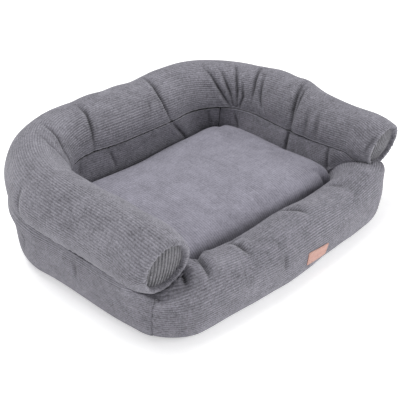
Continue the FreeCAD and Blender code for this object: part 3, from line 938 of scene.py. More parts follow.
def cushion_axis(half, low_stretch, high_stretch, flat):
    """Positions and heights over the seam across the whole cushion on one axis."""
    low_at, low_rise = edge_run(half, low_stretch)
    high_at, high_rise = edge_run(half, high_stretch)
    middle = np.linspace(-low_at[-1], high_at[-1], flat + 2)[1:-1]
    rise = edge_table[-1, 1] + 0.0045 * (1 - (middle / high_at[-1]) ** 2)
    return np.concatenate([-low_at, middle, high_at[::-1]]), np.concatenate([low_rise, rise, high_rise[::-1]])


x_run, x_rise = cushion_axis(cushion_half_size[0], 1.0, 1.0, 44)
y_run, y_rise = cushion_axis(cushion_half_size[1], 0.3, 0.6, 30)


def unfolded(run, half):
    """A run whose ends go straight in from the seam instead of over the swollen side."""
    flat = run.copy()
    flat[:edge_steps] = np.linspace(-half, run[edge_steps - 1], edge_steps)
    flat[-edge_steps:] = np.linspace(run[-edge_steps], half, edge_steps)
    return flat


def round_corners(x, y, radius):
    """Bends the square corners of a plan grid onto arcs."""
    straight = cushion_half_size - radius
    past_x, past_y = np.maximum(np.abs(x) - straight[0], 0), np.maximum(np.abs(y) - straight[1], 0)
    pull = np.maximum(past_x, past_y) / np.maximum(np.hypot(past_x, past_y), 1e-9)
    return (np.sign(x) * (np.minimum(np.abs(x), straight[0]) + past_x * pull),
            np.sign(y) * (np.minimum(np.abs(y), straight[1]) + past_y * pull))


def cushion_top_grid():
    """The cushion's top panel, its rows along X for the ribs that run along Y."""
    full = edge_table[-1, 1]
    rise_x, rise_y = np.meshgrid(x_rise, y_rise, indexing="ij")
    x, y = np.meshgrid(x_run, y_run, indexing="ij")
    plain_x, plain_y = np.meshgrid(unfolded(x_run, cushion_half_size[0]), unfolded(y_run, cushion_half_size[1]),
                                   indexing="ij")
    x = plain_x + (x - plain_x) * smooth(rise_y / 0.016)
    y = plain_y + (y - plain_y) * smooth(rise_x / 0.016)
    height = np.minimum(rise_x, full) * np.minimum(rise_y, full) / full
    height = height + np.maximum(rise_x - full, 0) * np.maximum(rise_y - full, 0) / 0.0045
    above = smooth(height / 0.03)
    u = np.clip(x / cushion_half_size[0], -1, 1)
    v = np.clip(y / cushion_half_size[1], -1, 1)
    from_front = y + cushion_half_size[1]
    to_right, to_back = smooth((u + 0.1) / 1.1), smooth((v + 1) / 2)
    height = height + above * (0.010 * to_back * (1 - 0.35 * to_right) + 0.012 * to_right
                               - 0.010 * np.exp(-np.maximum(from_front, 0) / 0.018))
    y = y + 0.005 * above * np.exp(-np.maximum(from_front, 0) / 0.03)
    reach_back = 0.0095 * smooth((v - 0.3) / 0.7) * smooth(height / 0.018)
    x = x + 0.010 * above * smooth((u - 0.3) / 0.7)
    x, y = round_corners(x, y, corner_round)
    return np.stack([x, y + reach_back + cushion_middle[1], seam_z + height], axis=-1)


def cushion_cloth(grid):
    """Lets the top panel swell as cloth, held along its seam."""
    mesh = bpy.data.meshes.new("cushion_cloth")
    mesh.from_pydata(grid.reshape(-1, 3).tolist(), [], open_quads(*grid.shape[:2]))
    if mesh.polygons[len(mesh.polygons) // 2].normal.z < 0:
        mesh.flip_normals()
    edge = np.ones(grid.shape[:2], bool)
    edge[2:-2, 2:-2] = False
    centre = np.array([*cushion_middle, seam_z])
    pattern = centre + (grid - centre) * [1.03, 1.035, 1.02]
    return run_cloth(add_object("cushion_cloth", mesh), grid, edge, pattern, 1.2, 0.004, 20, 0.8)


def open_quads(rows, columns, start=0):
    """Corner numbers of an open grid's quads."""
    row, column = np.arange(rows - 1)[:, None], np.arange(columns - 1)[None, :]
    first = start + row * columns + column
    return np.stack([first, first + 1, first + columns + 1, first + columns], axis=-1).reshape(-1, 4).tolist()


def open_normals(grid):
    """Normals of an open grid that point up on the whole."""
    normal = normals_of(grid, closed=False)
    return normal if normal[..., 2].sum() > 0 else -normal


cushion_ribs = 112
top = cushion_top_grid()
rough = lumps(top, 0.11, 41) * 0.0022 + lumps(top, 0.05, 42) * 0.0009
top += open_normals(top) * rough[:, :, None] * smooth((top[:, :, 2:] - seam_z) / 0.03)
top = cushion_cloth(top)
arc_x = np.concatenate([[0], np.cumsum(np.linalg.norm(np.diff(top[:, len(y_run) // 2], axis=0), axis=1))])
arc_y = np.concatenate([[0], np.cumsum(np.linalg.norm(np.diff(top[len(x_run) // 2], axis=0), axis=1))])
x_wanted = np.interp(np.linspace(0, arc_x[-1], cushion_ribs * ribs_fine + 1), arc_x, range(len(x_run)))
y_wanted = np.interp(np.linspace(0, arc_y[-1], 104), arc_y, range(len(y_run)))
top = cubic(cubic_down(top, x_wanted), y_wanted)
top_normals = open_normals(top)
x_number = np.linspace(0, cushion_ribs, cushion_ribs * ribs_fine + 1)
y_along = np.linspace(0, arc_y[-1], 104)
x_away = np.minimum(x_number, cushion_ribs - x_number) * rib_pitch
y_away = np.minimum(y_along, arc_y[-1] - y_along)
fold = (puckers(x_number[:, None] * rib_pitch, y_away[None, :], 0.024, 0.0010, 0.014, 43)
        * smooth(x_away / 0.03)[:, None])
fold = fold + puckers(y_along[None, :], x_away[:, None], 0.022, 0.0010, 0.014, 44) * smooth(y_away / 0.03)[None, :]
rib_fade = smooth(np.minimum(x_away[:, None], y_away[None, :]) / 0.004)
top = top + top_normals * (fold * rib_fade + rib_depth * 0.75 * rib_height(x_number)[:, None] * rib_fade)[:, :, None]
print("cushion top", top.shape, np.round(top.min(axis=(0, 1)), 3), np.round(top.max(axis=(0, 1)), 3))


# %% Cushion mesh
def loop_of(rows, columns):
    """Vertex numbers round the edge of an open grid."""
    first = [k * columns for k in range(rows)]
    second = [(rows - 1) * columns + k for k in range(1, columns)]
    third = [k * columns + columns - 1 for k in range(rows - 2, -1, -1)]
    fourth = list(range(columns - 2, 0, -1))
    return np.array(first + second + third + fourth)


base_profile = np.array([
    [0.0008, -0.0025], [0.0020, -0.008], [0.0022, -0.016], [0.0005, -0.025], [-0.005, -0.0325], [-0.015, -0.0368],
    [-0.032, -base_drop]])
edge_loop = loop_of(*top.shape[:2])
seam_line = top.reshape(-1, 3)[edge_loop]
tangent = np.roll(seam_line, -3, axis=0) - np.roll(seam_line, 3, axis=0)
side_out = np.column_stack([tangent[:, 1], -tangent[:, 0]])
side_out /= np.linalg.norm(side_out, axis=1, keepdims=True)
if (side_out * (seam_line[:, :2] - cushion_middle)).sum() < 0:
    side_out = -side_out
at_back = smooth((seam_line[:, 1] - cushion_high[1] + 0.02) / 0.015)[:, None]
rings = []
for offset, drop in base_profile:
    ring = seam_line.copy()
    ring[:, :2] += side_out * (offset * (1 - at_back * (offset > 0)))
    ring[:, 2] = seam_z + drop + lumps(ring, 0.04, 47) * 0.0004
    rings.append(ring)
for share in (0.80, 0.62, 0.44, 0.28, 0.13):
    ring = rings[6].copy()
    ring[:, :2] = cushion_middle + (ring[:, :2] - cushion_middle) * share
    ring[:, 2] = seam_z - base_drop + np.abs(lumps(ring, 0.05, 48)) * 0.0015
    rings.append(ring)
vertices = np.vstack([top.reshape(-1, 3)] + rings + [np.array([[*cushion_middle, seam_z - 0.0372]])])
faces = open_quads(*top.shape[:2])
top_count, around = len(faces), len(edge_loop)
before = edge_loop
for k in range(len(rings)):
    here = top.shape[0] * top.shape[1] + k * around + np.arange(around)
    faces += np.stack([before, here, np.roll(here, -1), np.roll(before, -1)], axis=1).tolist()
    before = here
last_vertex = len(vertices) - 1
faces += [[last_vertex, int(a), int(b)] for a, b in zip(np.roll(before, -1), before)]
cushion_mesh = bpy.data.meshes.new("cushion")
cushion_mesh.from_pydata(vertices.tolist(), [], faces)
cloth_map = cushion_mesh.uv_layers.new(name="cloth")
point_map = vertices[:, :2].copy()
point_map[:top.shape[0] * top.shape[1], 0] = np.repeat(y_along[None, :], top.shape[0], axis=0).ravel()
point_map[:top.shape[0] * top.shape[1], 1] = np.repeat(x_number[:, None], top.shape[1], axis=1).ravel()
corner_vertex = corners_of(cushion_mesh)
corner_map = point_map[corner_vertex]
base_corners = np.arange(len(corner_vertex)) >= top_count * 4
corner_map[base_corners] = vertices[corner_vertex[base_corners], :2]
cloth_map.data.foreach_set("uv", corner_map.ravel())
cushion_mesh.polygons.foreach_set("use_smooth", [True] * len(faces))
cushion_mesh.polygons.foreach_set("material_index", [0] * top_count + [1] * (len(faces) - top_count))

shape = bmesh.new()
shape.from_mesh(cushion_mesh)
bmesh.ops.recalc_face_normals(shape, faces=shape.faces)
shape.to_mesh(cushion_mesh)
shape.free()
if signed_volume(cushion_mesh) < 0:
    cushion_mesh.flip_normals()
cushion = add_object("cushion", cushion_mesh)
# Painted shade: the top panel is darkened where it rolls down over its edges, fully below 24 mm over the seam.
keep_fold_shade(cushion, 0.8 * smooth((0.042 - (top[..., 2] - seam_z)) / 0.018).ravel())
print("cushion faces", len(cushion_mesh.polygons))

# %% [markdown]
# ## Flat pieces
# Three flat pieces are made the same way, as rings that shrink from an outline to its middle, first over
# the lower side and then over the upper one: the quilted pad on the floor of the well, the black cloth
# underneath, and the round panels in the arm ends. A height rule gives each one its surface.


# %% Slabs
def slab(name, outline, lower, upper, steps, edge=0.0006):
    """A closed flat piece over an outline. lower and upper give heights for plan points."""
    middle = outline.mean(axis=0)
    shares = np.linspace(0.02, 1, steps)
    rows = []
    for share in shares:
        plan = middle + (outline - middle) * share
        rows.append(np.column_stack([plan, lower(plan)]))
    plan = outline + (outline - middle) / np.linalg.norm(outline - middle, axis=1, keepdims=True) * edge
    rows.append(np.column_stack([plan, (lower(plan) + upper(outline)) / 2]))
    for share in shares[::-1]:
        plan = middle + (outline - middle) * share
        rows.append(np.column_stack([plan, upper(plan)]))
    grid = np.array(rows)
    thing = grid_mesh(name, grid, np.arange(len(grid)) * 1.0, np.arange(len(outline) + 1) * 1.0)
    plan_map(thing, 0, 1)
    return thing


def plan_map(thing, first, second):
    """Sets the cloth map of a flat piece to two of its own coordinates, in metres."""
    values = points_of(thing.data)[corners_of(thing.data)][:, [first, second]]
    thing.data.uv_layers["cloth"].data.foreach_set("uv", values.ravel())


def whole_outline(line, count):
    """Even points round an outline."""
    keys = [0, line.reach[-1]]
    return line.at(np.linspace(0, 1, count, endpoint=False), keys)


def plan_lumps(plan, size, seed):
    """Smooth noise over plan points."""
    return lumps(np.column_stack([plan, plan[:, 0] * 0]), size, seed)


def quilted(plan):
    """Height of the floor pad: soft squares between diagonal rows of stitches."""
    across = (plan[:, 0] + plan[:, 1]) / 0.052
    along = (plan[:, 0] - plan[:, 1]) / 0.052
    near = np.minimum(np.abs(across - np.round(across)), np.abs(along - np.round(along)))
    return floor_z + 0.0030 + 0.0029 * smooth(near / 0.3) + plan_lumps(plan, 0.03, 51) * 0.0002


pad_line = Outline(well_half - 0.0012, well_front + 0.0012, well_back - 0.0012, well_front_radius, well_back_radius)
floor_pad = slab("floor_pad", whole_outline(pad_line, 300), lambda plan: np.full(len(plan), floor_z + 0.0002),
                 quilted, 60)
panel_low, panel_high = box_of("underside_panel")
panel_line = Outline(panel_high[0], panel_low[1], panel_high[1], base_front_radius - 0.022, base_back_radius - 0.022,
                     base_bow, 0.5)


def ripple(plan):
    """Tiny slack in the cloth underneath."""
    return plan_lumps(plan, 0.05, 52) * 0.00018


panel_outline = whole_outline(panel_line, 260)
underside = slab("underside", panel_outline, lambda plan: panel_low[2] + 0.0004 + ripple(plan),
                 lambda plan: panel_low[2] + 0.0011 + ripple(plan), 30, 0.0002)

# %% [markdown]
# ## End panels
# The round panels carry upright ribs and are slightly domed by the filling behind them.


# %% End panels
panel_rib = 0.0064


def end_panel(name, side):
    """A round domed panel with upright ribs, leaning with the arm's end."""
    turn = np.linspace(0, 2 * math.pi, 288, endpoint=False)
    radius = rim_radius - 0.0068
    rows = [np.column_stack([radius * share * np.cos(turn), radius * share * np.sin(turn), np.zeros(len(turn))])
            for share in np.linspace(0.02, 1, 44)]
    front_rows = [row.copy() for row in rows]
    for row in front_rows:
        away = np.hypot(row[:, 0], row[:, 1]) / radius
        dome = 0.0042 * (1 - away ** 2) + 0.0018 + lumps(row + side, 0.02, 61) * 0.0006
        ribs = 0.0011 * rib_height(row[:, 0] / panel_rib + 0.5) * smooth((1 - away) / 0.06 + 0.2)
        row[:, 2] = dome + ribs
    grid = np.array(rows + front_rows[::-1])
    points = np.stack([side * arm_x + grid[..., 0], arm_end_y + panel_recess - grid[..., 2],
                       arm_z + grid[..., 1]], axis=-1)
    points[..., 1] -= end_lean * (points[..., 2] - arm_z)
    thing = grid_mesh(name, points, np.arange(len(grid)) * 1.0, np.arange(289) * 1.0)
    plan_map(thing, 2, 0)
    values = np.zeros(len(thing.data.loops) * 2, np.float32)
    layer = thing.data.uv_layers["cloth"].data
    layer.foreach_get("uv", values)
    values = values.reshape(-1, 2)
    values[:, 1] = (values[:, 1] - side * arm_x) / panel_rib + 0.5
    layer.foreach_set("uv", values.ravel())
    return thing


left_panel, right_panel = end_panel("left_end_panel", -1), end_panel("right_end_panel", 1)

# %% [markdown]
# ## Small parts that repeat
# Stitches, zip teeth and the rubber dots underneath are one part many times over. One node tool sets a
# part along a line, turned with it; another sets it on every point of a lattice. Both end as real,
# plain geometry.


# %% Repeating tools
class Graph:
    """A short way to write node graphs."""

    def __init__(self, tree):
        self.tree = tree

    def add(self, kind, inputs=None, **settings):
        """A node with its settings and inputs; an input is a value or another node's output."""
        node = self.tree.nodes.new(kind)
        for key, value in settings.items():
            setattr(node, key, value)
        for key, value in (inputs or {}).items():
            if isinstance(value, bpy.types.NodeSocket):
                self.tree.links.new(value, node.inputs[key])
            else:
                node.inputs[key].default_value = value
        return node

    def math(self, operation, first, second=0.0, clamp=False):
        """One sum on one or two values."""
        return self.add("ShaderNodeMath", {0: first, 1: second}, operation=operation, use_clamp=clamp).outputs[0]

    def mix(self, share, first, second, blend="MIX"):
        """Two colours mixed."""
        node = self.add("ShaderNodeMix", {"Factor": share}, data_type="RGBA", blend_type=blend)
        for index, value in ((6, first), (7, second)):
            if isinstance(value, bpy.types.NodeSocket):
                self.tree.links.new(value, node.inputs[index])
            else:
                node.inputs[index].default_value = value
        return node.outputs[2]

    def noise(self, vector, scale, detail=3.0, rough=0.5, distort=0.0):
        """Noise values round 0.5."""
        return self.add("ShaderNodeTexNoise", {"Vector": vector, "Scale": scale, "Detail": detail,
                                               "Roughness": rough, "Distortion": distort}).outputs[0]

    def spread(self, value, low, high):
        """Maps 0.25 to 0.75 onto low to high."""
        return self.add("ShaderNodeMapRange", {0: value, 1: 0.25, 2: 0.75, 3: low, 4: high}).outputs[0]


def small_mesh(name, vertices, faces):
    """A hidden part to be repeated."""
    mesh = bpy.data.meshes.new(name)
    mesh.from_pydata([list(map(float, v)) for v in vertices], [], [list(map(int, f)) for f in faces])
    mesh.polygons.foreach_set("use_smooth", [True] * len(mesh.polygons))
    if signed_volume(mesh) < 0:
        mesh.flip_normals()
    return bpy.data.objects.new(name, mesh)


def tube(path, radius, sides=6, closed=False):
    """Vertices and faces of a round tube along a path, its ends closed."""
    path = np.array(path, float)
    count = len(path)
    along = (np.roll(path, -1, axis=0) - np.roll(path, 1, axis=0)) if closed else np.gradient(path, axis=0)
    along /= np.linalg.norm(along, axis=1, keepdims=True)
    up = np.array([0.0, 0.0, 1.0]) if abs(along[:, 2]).max() < 0.95 else np.array([0.0, 1.0, 0.0])
    side = np.cross(along, up)
    side /= np.linalg.norm(side, axis=1, keepdims=True)
    over = np.cross(side, along)
    turn = np.linspace(0, 2 * math.pi, sides, endpoint=False)
    radius = np.broadcast_to(radius, (count,))
    rings = path[:, None] + radius[:, None, None] * (side[:, None] * np.cos(turn)[None, :, None]
                                                     + over[:, None] * np.sin(turn)[None, :, None])
    vertices = rings.reshape(-1, 3)
    faces = []
    for row in range(count if closed else count - 1):
        after = (row + 1) % count
        for k in range(sides):
            other = (k + 1) % sides
            faces.append([row * sides + k, row * sides + other, after * sides + other, after * sides + k])
    if not closed:
        for row, order in ((0, -1), (count - 1, 1)):
            vertices = np.vstack([vertices, path[row]])
            for k in range(sides):
                pair = [row * sides + k, row * sides + (k + 1) % sides][::order]
                faces.append(pair + [len(vertices) - 1])
    return vertices, faces


def repeat_tool(name, on_line):
    """A node tool that repeats a part along a line, or on the points of a lattice."""
    tree = bpy.data.node_groups.new(name, "GeometryNodeTree")
    tree.is_modifier = True
    face = tree.interface
    face.new_socket("Geometry", in_out="INPUT", socket_type="NodeSocketGeometry")
    for label, kind, value in (("Part", "NodeSocketObject", None), ("Material", "NodeSocketMaterial", None),
                               ("Pitch", "NodeSocketFloat", 0.004), ("Size Spread", "NodeSocketFloat", 0.05),
                               ("Turn Spread", "NodeSocketFloat", 0.03), ("Seed", "NodeSocketInt", 1)):
        socket = face.new_socket(label, in_out="INPUT", socket_type=kind)
        if value is not None:
            socket.default_value = value
    face.new_socket("Geometry", in_out="OUTPUT", socket_type="NodeSocketGeometry")
    g = Graph(tree)
    given, result = g.add("NodeGroupInput").outputs, g.add("NodeGroupOutput").inputs
    part = g.add("GeometryNodeObjectInfo", {"As Instance": True, "Object": given["Part"]}).outputs["Geometry"]
    turn = g.add("FunctionNodeRandomValue", {"Min": g.math("MULTIPLY", given["Turn Spread"], -1.0),
                                             "Max": given["Turn Spread"], "Seed": given["Seed"]},
                 data_type="FLOAT_VECTOR").outputs[0]
    size = g.add("FunctionNodeRandomValue", {2: g.math("SUBTRACT", 1.0, given["Size Spread"]),
                                             3: g.math("ADD", 1.0, given["Size Spread"]), "Seed": given["Seed"]},
                 data_type="FLOAT").outputs[1]
    points = given[0]
    if on_line:
        curve = g.add("GeometryNodeMeshToCurve", {0: points}).outputs[0]
        points = g.add("GeometryNodeResampleCurve", {"Curve": curve, "Length": given["Pitch"]},
                       mode="LENGTH").outputs[0]
        tangent = g.add("GeometryNodeInputTangent").outputs[0]
        align = g.add("FunctionNodeAlignRotationToVector", {"Vector": tangent}, axis="X").outputs[0]
        turn = g.add("FunctionNodeRotateRotation", {0: align, 1: turn}, rotation_space="LOCAL").outputs[0]
    placed = g.add("GeometryNodeInstanceOnPoints", {"Points": points, "Instance": part, "Rotation": turn,
                                                    "Scale": size}).outputs[0]
    real = g.add("GeometryNodeRealizeInstances", {0: placed}).outputs[0]
    painted = g.add("GeometryNodeSetMaterial", {"Geometry": real, "Material": given["Material"]}).outputs[0]
    tree.links.new(painted, result[0])
    return tree


along_line, on_lattice = repeat_tool("repeat along a line", True), repeat_tool("repeat on points", False)


def repeated(name, tool, points, part, material, closed=False, **values):
    """Runs a repeating tool over points and keeps the result as a plain mesh."""
    mesh = bpy.data.meshes.new(name + "_line")
    count = len(points)
    edges = [] if tool is on_lattice else [[k, (k + 1) % count] for k in range(count if closed else count - 1)]
    mesh.from_pydata(np.asarray(points).tolist(), edges, [])
    carrier = add_object(name + "_line", mesh)
    bpy.context.collection.objects.link(part)
    modifier = carrier.modifiers.new("repeat", "NODES")
    modifier.node_group = tool
    ids = {item.name: item.identifier for item in tool.interface.items_tree if item.in_out == "INPUT"}
    values = {"Part": part, "Material": material, "Seed": 3, **values}
    for label, value in values.items():
        modifier[ids[label]] = value
    carrier.update_tag()
    solved = carrier.evaluated_get(bpy.context.evaluated_depsgraph_get())
    plain = bpy.data.meshes.new_from_object(solved)
    plain.name = name
    thing = add_object(name, plain)
    bpy.data.objects.remove(carrier)
    bpy.data.objects.remove(part)
    print(name, "faces", len(plain.polygons))
    return thing


# %% [markdown]
# ## Shader tools
# Every surface here is cloth, leather, rubber or nylon, so the detail is in the fibres. Two small groups
# do the cloth: cord pile, which reads the rib number to tell ridge from furrow, and a plain weave. A
# grain does the rest. All give colours, roughness and heights; each material keeps its own shader.


# %% Shader groups
def shader_group(name, inputs, outputs):
    """A node group with named sockets: (name, kind, default)."""
    tree = bpy.data.node_groups.new(name, "ShaderNodeTree")
    for label, kind, value in inputs:
        socket = tree.interface.new_socket(label, in_out="INPUT", socket_type="NodeSocket" + kind)
        socket.default_value = value
    for label, kind in outputs:
        tree.interface.new_socket(label, in_out="OUTPUT", socket_type="NodeSocket" + kind)
    graph = Graph(tree)
    return tree, graph, graph.add("NodeGroupInput"), graph.add("NodeGroupOutput")


def cord_group():
    """Colour, roughness and height of cord pile, from the length and rib number in the cloth map."""
    tree, g, given, result = shader_group(
        "cord pile",
        [("Ridge", "Color", (0.23, 0.225, 0.25, 1)), ("Furrow", "Color", (0.09, 0.088, 0.1, 1)),
         ("Furrow Strength", "Float", 0.8), ("Mottle", "Float", 0.12), ("Streak", "Float", 0.05),
         ("Grain", "Float", 1.0)],
        [("Color", "Color"), ("Roughness", "Float"), ("Height", "Float")])
    where = g.add("ShaderNodeUVMap", uv_map="cloth").outputs[0]
    split = g.add("ShaderNodeSeparateXYZ", {0: where})
    length, rib = split.outputs[0], split.outputs[1]
    space = g.add("ShaderNodeTexCoord").outputs["Object"]
    wave = g.math("COSINE", g.math("MULTIPLY", rib, 2 * math.pi))
    furrow = g.math("POWER", g.math("MULTIPLY", g.math("ADD", wave, 1.0), 0.5), 2.2)
    wander = g.noise(space, 160.0, 2.0)
    wear_and_seam_light = g.noise(space, 11.0, 3.0, 0.55)
    furrow = g.math("MULTIPLY", furrow, g.spread(wander, 0.7, 1.1), clamp=True)
    furrow = g.math("MULTIPLY", furrow, g.spread(wear_and_seam_light, 0.2, 1.2), clamp=True)
    number = g.add("ShaderNodeTexWhiteNoise", {"W": g.math("FLOOR", rib)}, noise_dimensions="1D").outputs[0]
    tuft_at = g.add("ShaderNodeCombineXYZ", {0: g.math("MULTIPLY", length, 900.0), 1: g.math("MULTIPLY", rib, 1.4)})
    tuft = g.noise(tuft_at.outputs[0], 1.0, 2.0, 0.6)
    streak_at = g.add("ShaderNodeCombineXYZ", {0: g.math("MULTIPLY", length, 22.0), 1: g.math("MULTIPLY", rib, 1.0)})
    streak = g.noise(streak_at.outputs[0], 1.0, 3.0, 0.6)
    patches = g.noise(space, 26.0, 4.0, 0.6, 0.4)
    broad = g.noise(space, 8.0, 2.0, 0.5)
    half = g.math("MULTIPLY", given.outputs["Mottle"], -1.0)
    light = g.add("ShaderNodeMapRange", {0: patches, 1: 0.3, 2: 0.7, 3: half, 4: given.outputs["Mottle"]}).outputs[0]
    parts = [(broad, given.outputs["Mottle"]), (streak, 0.30), (number, given.outputs["Streak"]), (tuft, 0.45)]
    parts += [(g.noise(space, scale, 2.0, 0.6), g.math("MULTIPLY", given.outputs["Grain"], share))
              for scale, share in ((420.0, 0.9), (210.0, 0.95), (90.0, 0.5))]
    for value, share in parts:
        light = g.math("ADD", light, g.math("MULTIPLY", g.math("SUBTRACT", value, 0.5), share))
    base = g.mix(g.math("MULTIPLY", furrow, given.outputs["Furrow Strength"]), given.outputs["Ridge"],
                 given.outputs["Furrow"])
    # Painted shade: the fold value darkens the colour by up to 70 percent in creases and shaded places, and paints
    # light where it is below nought.
    folded = g.add("ShaderNodeAttribute", attribute_name="fold").outputs["Fac"]
    bright = g.math("MULTIPLY", g.math("ADD", light, 1.0), g.math("SUBTRACT", 1.0, g.math("MULTIPLY", folded, 0.7)))
    colour = g.add("ShaderNodeVectorMath", {0: base, "Scale": bright}, operation="SCALE").outputs[0]
    height = g.math("ADD", g.math("MULTIPLY", tuft, 0.6), g.math("MULTIPLY", g.noise(space, 900.0, 2.0, 0.7), 0.5))
    height = g.math("SUBTRACT", height, g.math("MULTIPLY", furrow, 0.9))
    for label, value in (("Color", colour), ("Roughness", g.spread(patches, 0.9, 1.0)), ("Height", height)):
        tree.links.new(value, result.inputs[label])
    return tree


def weave_group():
    """Plain weave: threads over and under each other, from a plan map in metres."""
    tree, g, given, result = shader_group(
        "plain weave",
        [("Light", "Color", (0.3, 0.3, 0.3, 1)), ("Dark", "Color", (0.2, 0.2, 0.2, 1)), ("Threads", "Float", 900.0)],
        [("Color", "Color"), ("Roughness", "Float"), ("Height", "Float")])
    where = g.add("ShaderNodeUVMap", uv_map="cloth").outputs[0]
    split = g.add("ShaderNodeSeparateXYZ", {0: where})
    turns = g.math("MULTIPLY", given.outputs["Threads"], 2 * math.pi)
    warp = g.math("SINE", g.math("MULTIPLY", split.outputs[0], turns))
    weft = g.math("SINE", g.math("MULTIPLY", split.outputs[1], turns))
    over = g.math("ADD", g.math("MULTIPLY", g.math("MULTIPLY", warp, weft), 0.5), 0.5)
    space = g.add("ShaderNodeTexCoord").outputs["Object"]
    slub = g.noise(space, 60.0, 4.0, 0.6)
    share = g.math("ADD", g.math("MULTIPLY", over, 0.6), g.math("MULTIPLY", slub, 0.5), clamp=True)
    colour = g.mix(share, given.outputs["Dark"], given.outputs["Light"])
    for label, value in (("Color", colour), ("Roughness", g.spread(slub, 0.8, 0.95)), ("Height", over)):
        tree.links.new(value, result.inputs[label])
    return tree


cord_tool, weave_tool = cord_group(), weave_group()


def material(name, build, sheen=0.0, sheen_tint=(1, 1, 1, 1), distance=0.0004, strength=0.6, **constants):
    """A material: build(graph) returns colour, roughness and height for a Principled shader."""
    made = bpy.data.materials.new(name)
    made.use_nodes = True
    made.node_tree.nodes.clear()
    g = Graph(made.node_tree)
    colour, rough, height = build(g)
    bump = g.add("ShaderNodeBump", {"Height": height, "Distance": distance, "Strength": strength})
    shader = g.add("ShaderNodeBsdfPrincipled", {"Base Color": colour, "Roughness": rough, "Normal": bump.outputs[0],
                                                "Sheen Weight": sheen, "Sheen Tint": sheen_tint,
                                                "Sheen Roughness": 0.45, **constants})
    g.add("ShaderNodeOutputMaterial", {"Surface": shader.outputs[0]})
    return made


def cord(name, ridge, furrow, strength=0.8, mottle=0.12, streak=0.05, sheen=0.35, grain=1.0):
    """A cord cloth material in two colours."""
    def build(g):
        return g.add("ShaderNodeGroup", {"Ridge": (*ridge, 1), "Furrow": (*furrow, 1), "Furrow Strength": strength,
                                         "Mottle": mottle, "Streak": streak, "Grain": grain},
                     node_tree=cord_tool).outputs
    return material(name, build, sheen, (0.95, 0.95, 1.0, 1), 0.0007, 0.7, **{"Specular IOR Level": 0.2})


def woven(name, light, dark, threads):
    """A plain woven material."""
    def build(g):
        return g.add("ShaderNodeGroup", {"Light": (*light, 1), "Dark": (*dark, 1), "Threads": threads},
                     node_tree=weave_tool).outputs
    return material(name, build, 0.1, (1, 1, 1, 1), 0.0002, 0.5, **{"Specular IOR Level": 0.3})


def grained(name, light, dark, scale, rough, distance=0.0002, **constants):
    """A material with an irregular grain in its own space: leather, rubber, nylon or metal."""
    def build(g):
        space = g.add("ShaderNodeTexCoord").outputs["Object"]
        cells = g.add("ShaderNodeTexVoronoi", {"Vector": space, "Scale": scale},
                      feature="DISTANCE_TO_EDGE").outputs[0]
        crease = g.math("SUBTRACT", 1.0, g.math("MULTIPLY", cells, 6.0, clamp=True))
        cloud = g.noise(space, scale * 0.12, 4.0, 0.6)
        share = g.math("ADD", g.math("MULTIPLY", crease, 0.35), g.math("MULTIPLY", cloud, 0.6), clamp=True)
        colour = g.mix(share, (*light, 1), (*dark, 1))
        roughness = g.spread(cloud, rough - 0.08, rough + 0.08)
        return colour, roughness, g.math("MULTIPLY", crease, -1.0)
    return material(name, build, distance=distance, strength=0.5, **constants)


wall_cloth = cord("wall_cord", (0.232, 0.226, 0.258), (0.095, 0.092, 0.11), 0.62, 0.15)
bolster_cloth = cord("bolster_cord", (0.238, 0.232, 0.264), (0.098, 0.095, 0.113), 0.62, 0.15)
panel_cloth = cord("disc_cord", (0.19, 0.187, 0.202), (0.05, 0.049, 0.056), 0.9, sheen=0.2)
cushion_cloth_look = cord("cushion_cord", (0.285, 0.276, 0.33), (0.18, 0.175, 0.205), 0.45, 0.13, 0.05, 0.35, 0.5)
lining_look = woven("lining_cloth", (0.13, 0.13, 0.14), (0.08, 0.08, 0.088), 700.0)
underside_look = woven("underside_cloth", (0.03, 0.03, 0.033), (0.008, 0.008, 0.009), 500.0)
rubber_look = grained("grip_rubber", (0.035, 0.035, 0.038), (0.015, 0.015, 0.017), 2500.0, 0.6)
leather_look = grained("label_leather", (0.66, 0.385, 0.325), (0.46, 0.25, 0.21), 1300.0, 0.5)
thread_look = grained("thread", (0.62, 0.52, 0.44), (0.40, 0.32, 0.26), 6000.0, 0.8)
tape_look = grained("zip_tape", (0.16, 0.155, 0.17), (0.09, 0.088, 0.098), 3000.0, 0.85)
nylon_look = grained("zip_nylon", (0.11, 0.108, 0.12), (0.07, 0.068, 0.078), 3000.0, 0.45)
metal_look = grained("zip_metal", (0.075, 0.075, 0.08), (0.05, 0.05, 0.054), 900.0, 0.38, 0.00005, Metallic=0.0)
print("materials", len(bpy.data.materials))

# %% [markdown]
# ## The label
# A small leather tab is stitched flat on the front wall. It follows the wall's curve, so a smooth surface
# is fitted to the wall behind it, and the tab is bent over that. Its edge is rounded, and a plain paw,
# four small frames and a line near the edge are pressed into it.

# %% Label
label_low, label_high = box_of("label")
label_size = np.array([label_high[0] - label_low[0], label_high[2] - label_low[2]]) / 2
label_middle = np.array([(label_low[0] + label_high[0]) / 2, (label_low[2] + label_high[2]) / 2 + 0.002])
label_tilt, label_thickness = math.radians(-7), 0.0013
front_tree = BVHTree.FromObject(front_wall, bpy.context.evaluated_depsgraph_get())


def label_place(local):
    """Plan of the label's own coordinates on the front wall, before its depth is known."""
    c, s = math.cos(label_tilt), math.sin(label_tilt)
    return np.column_stack([label_middle[0] + local[:, 0] * c - local[:, 1] * s,
                            label_middle[1] + local[:, 0] * s + local[:, 1] * c])


lattice = np.array([[u, v] for u in np.linspace(-1, 1, 17) for v in np.linspace(-1, 1, 9)]) * label_size
spots = label_place(lattice)
depths = np.array([front_tree.ray_cast(Vector((x, -1.0, z)), Vector((0, 1, 0)))[0].y for x, z in spots])


def surface_terms(local):
    """Terms of a smooth curved sheet."""
    u, v = local[:, 0] / label_size[0], local[:, 1] / label_size[1]
    return np.column_stack([np.ones(len(u)), u, v, u * u, u * v, v * v])


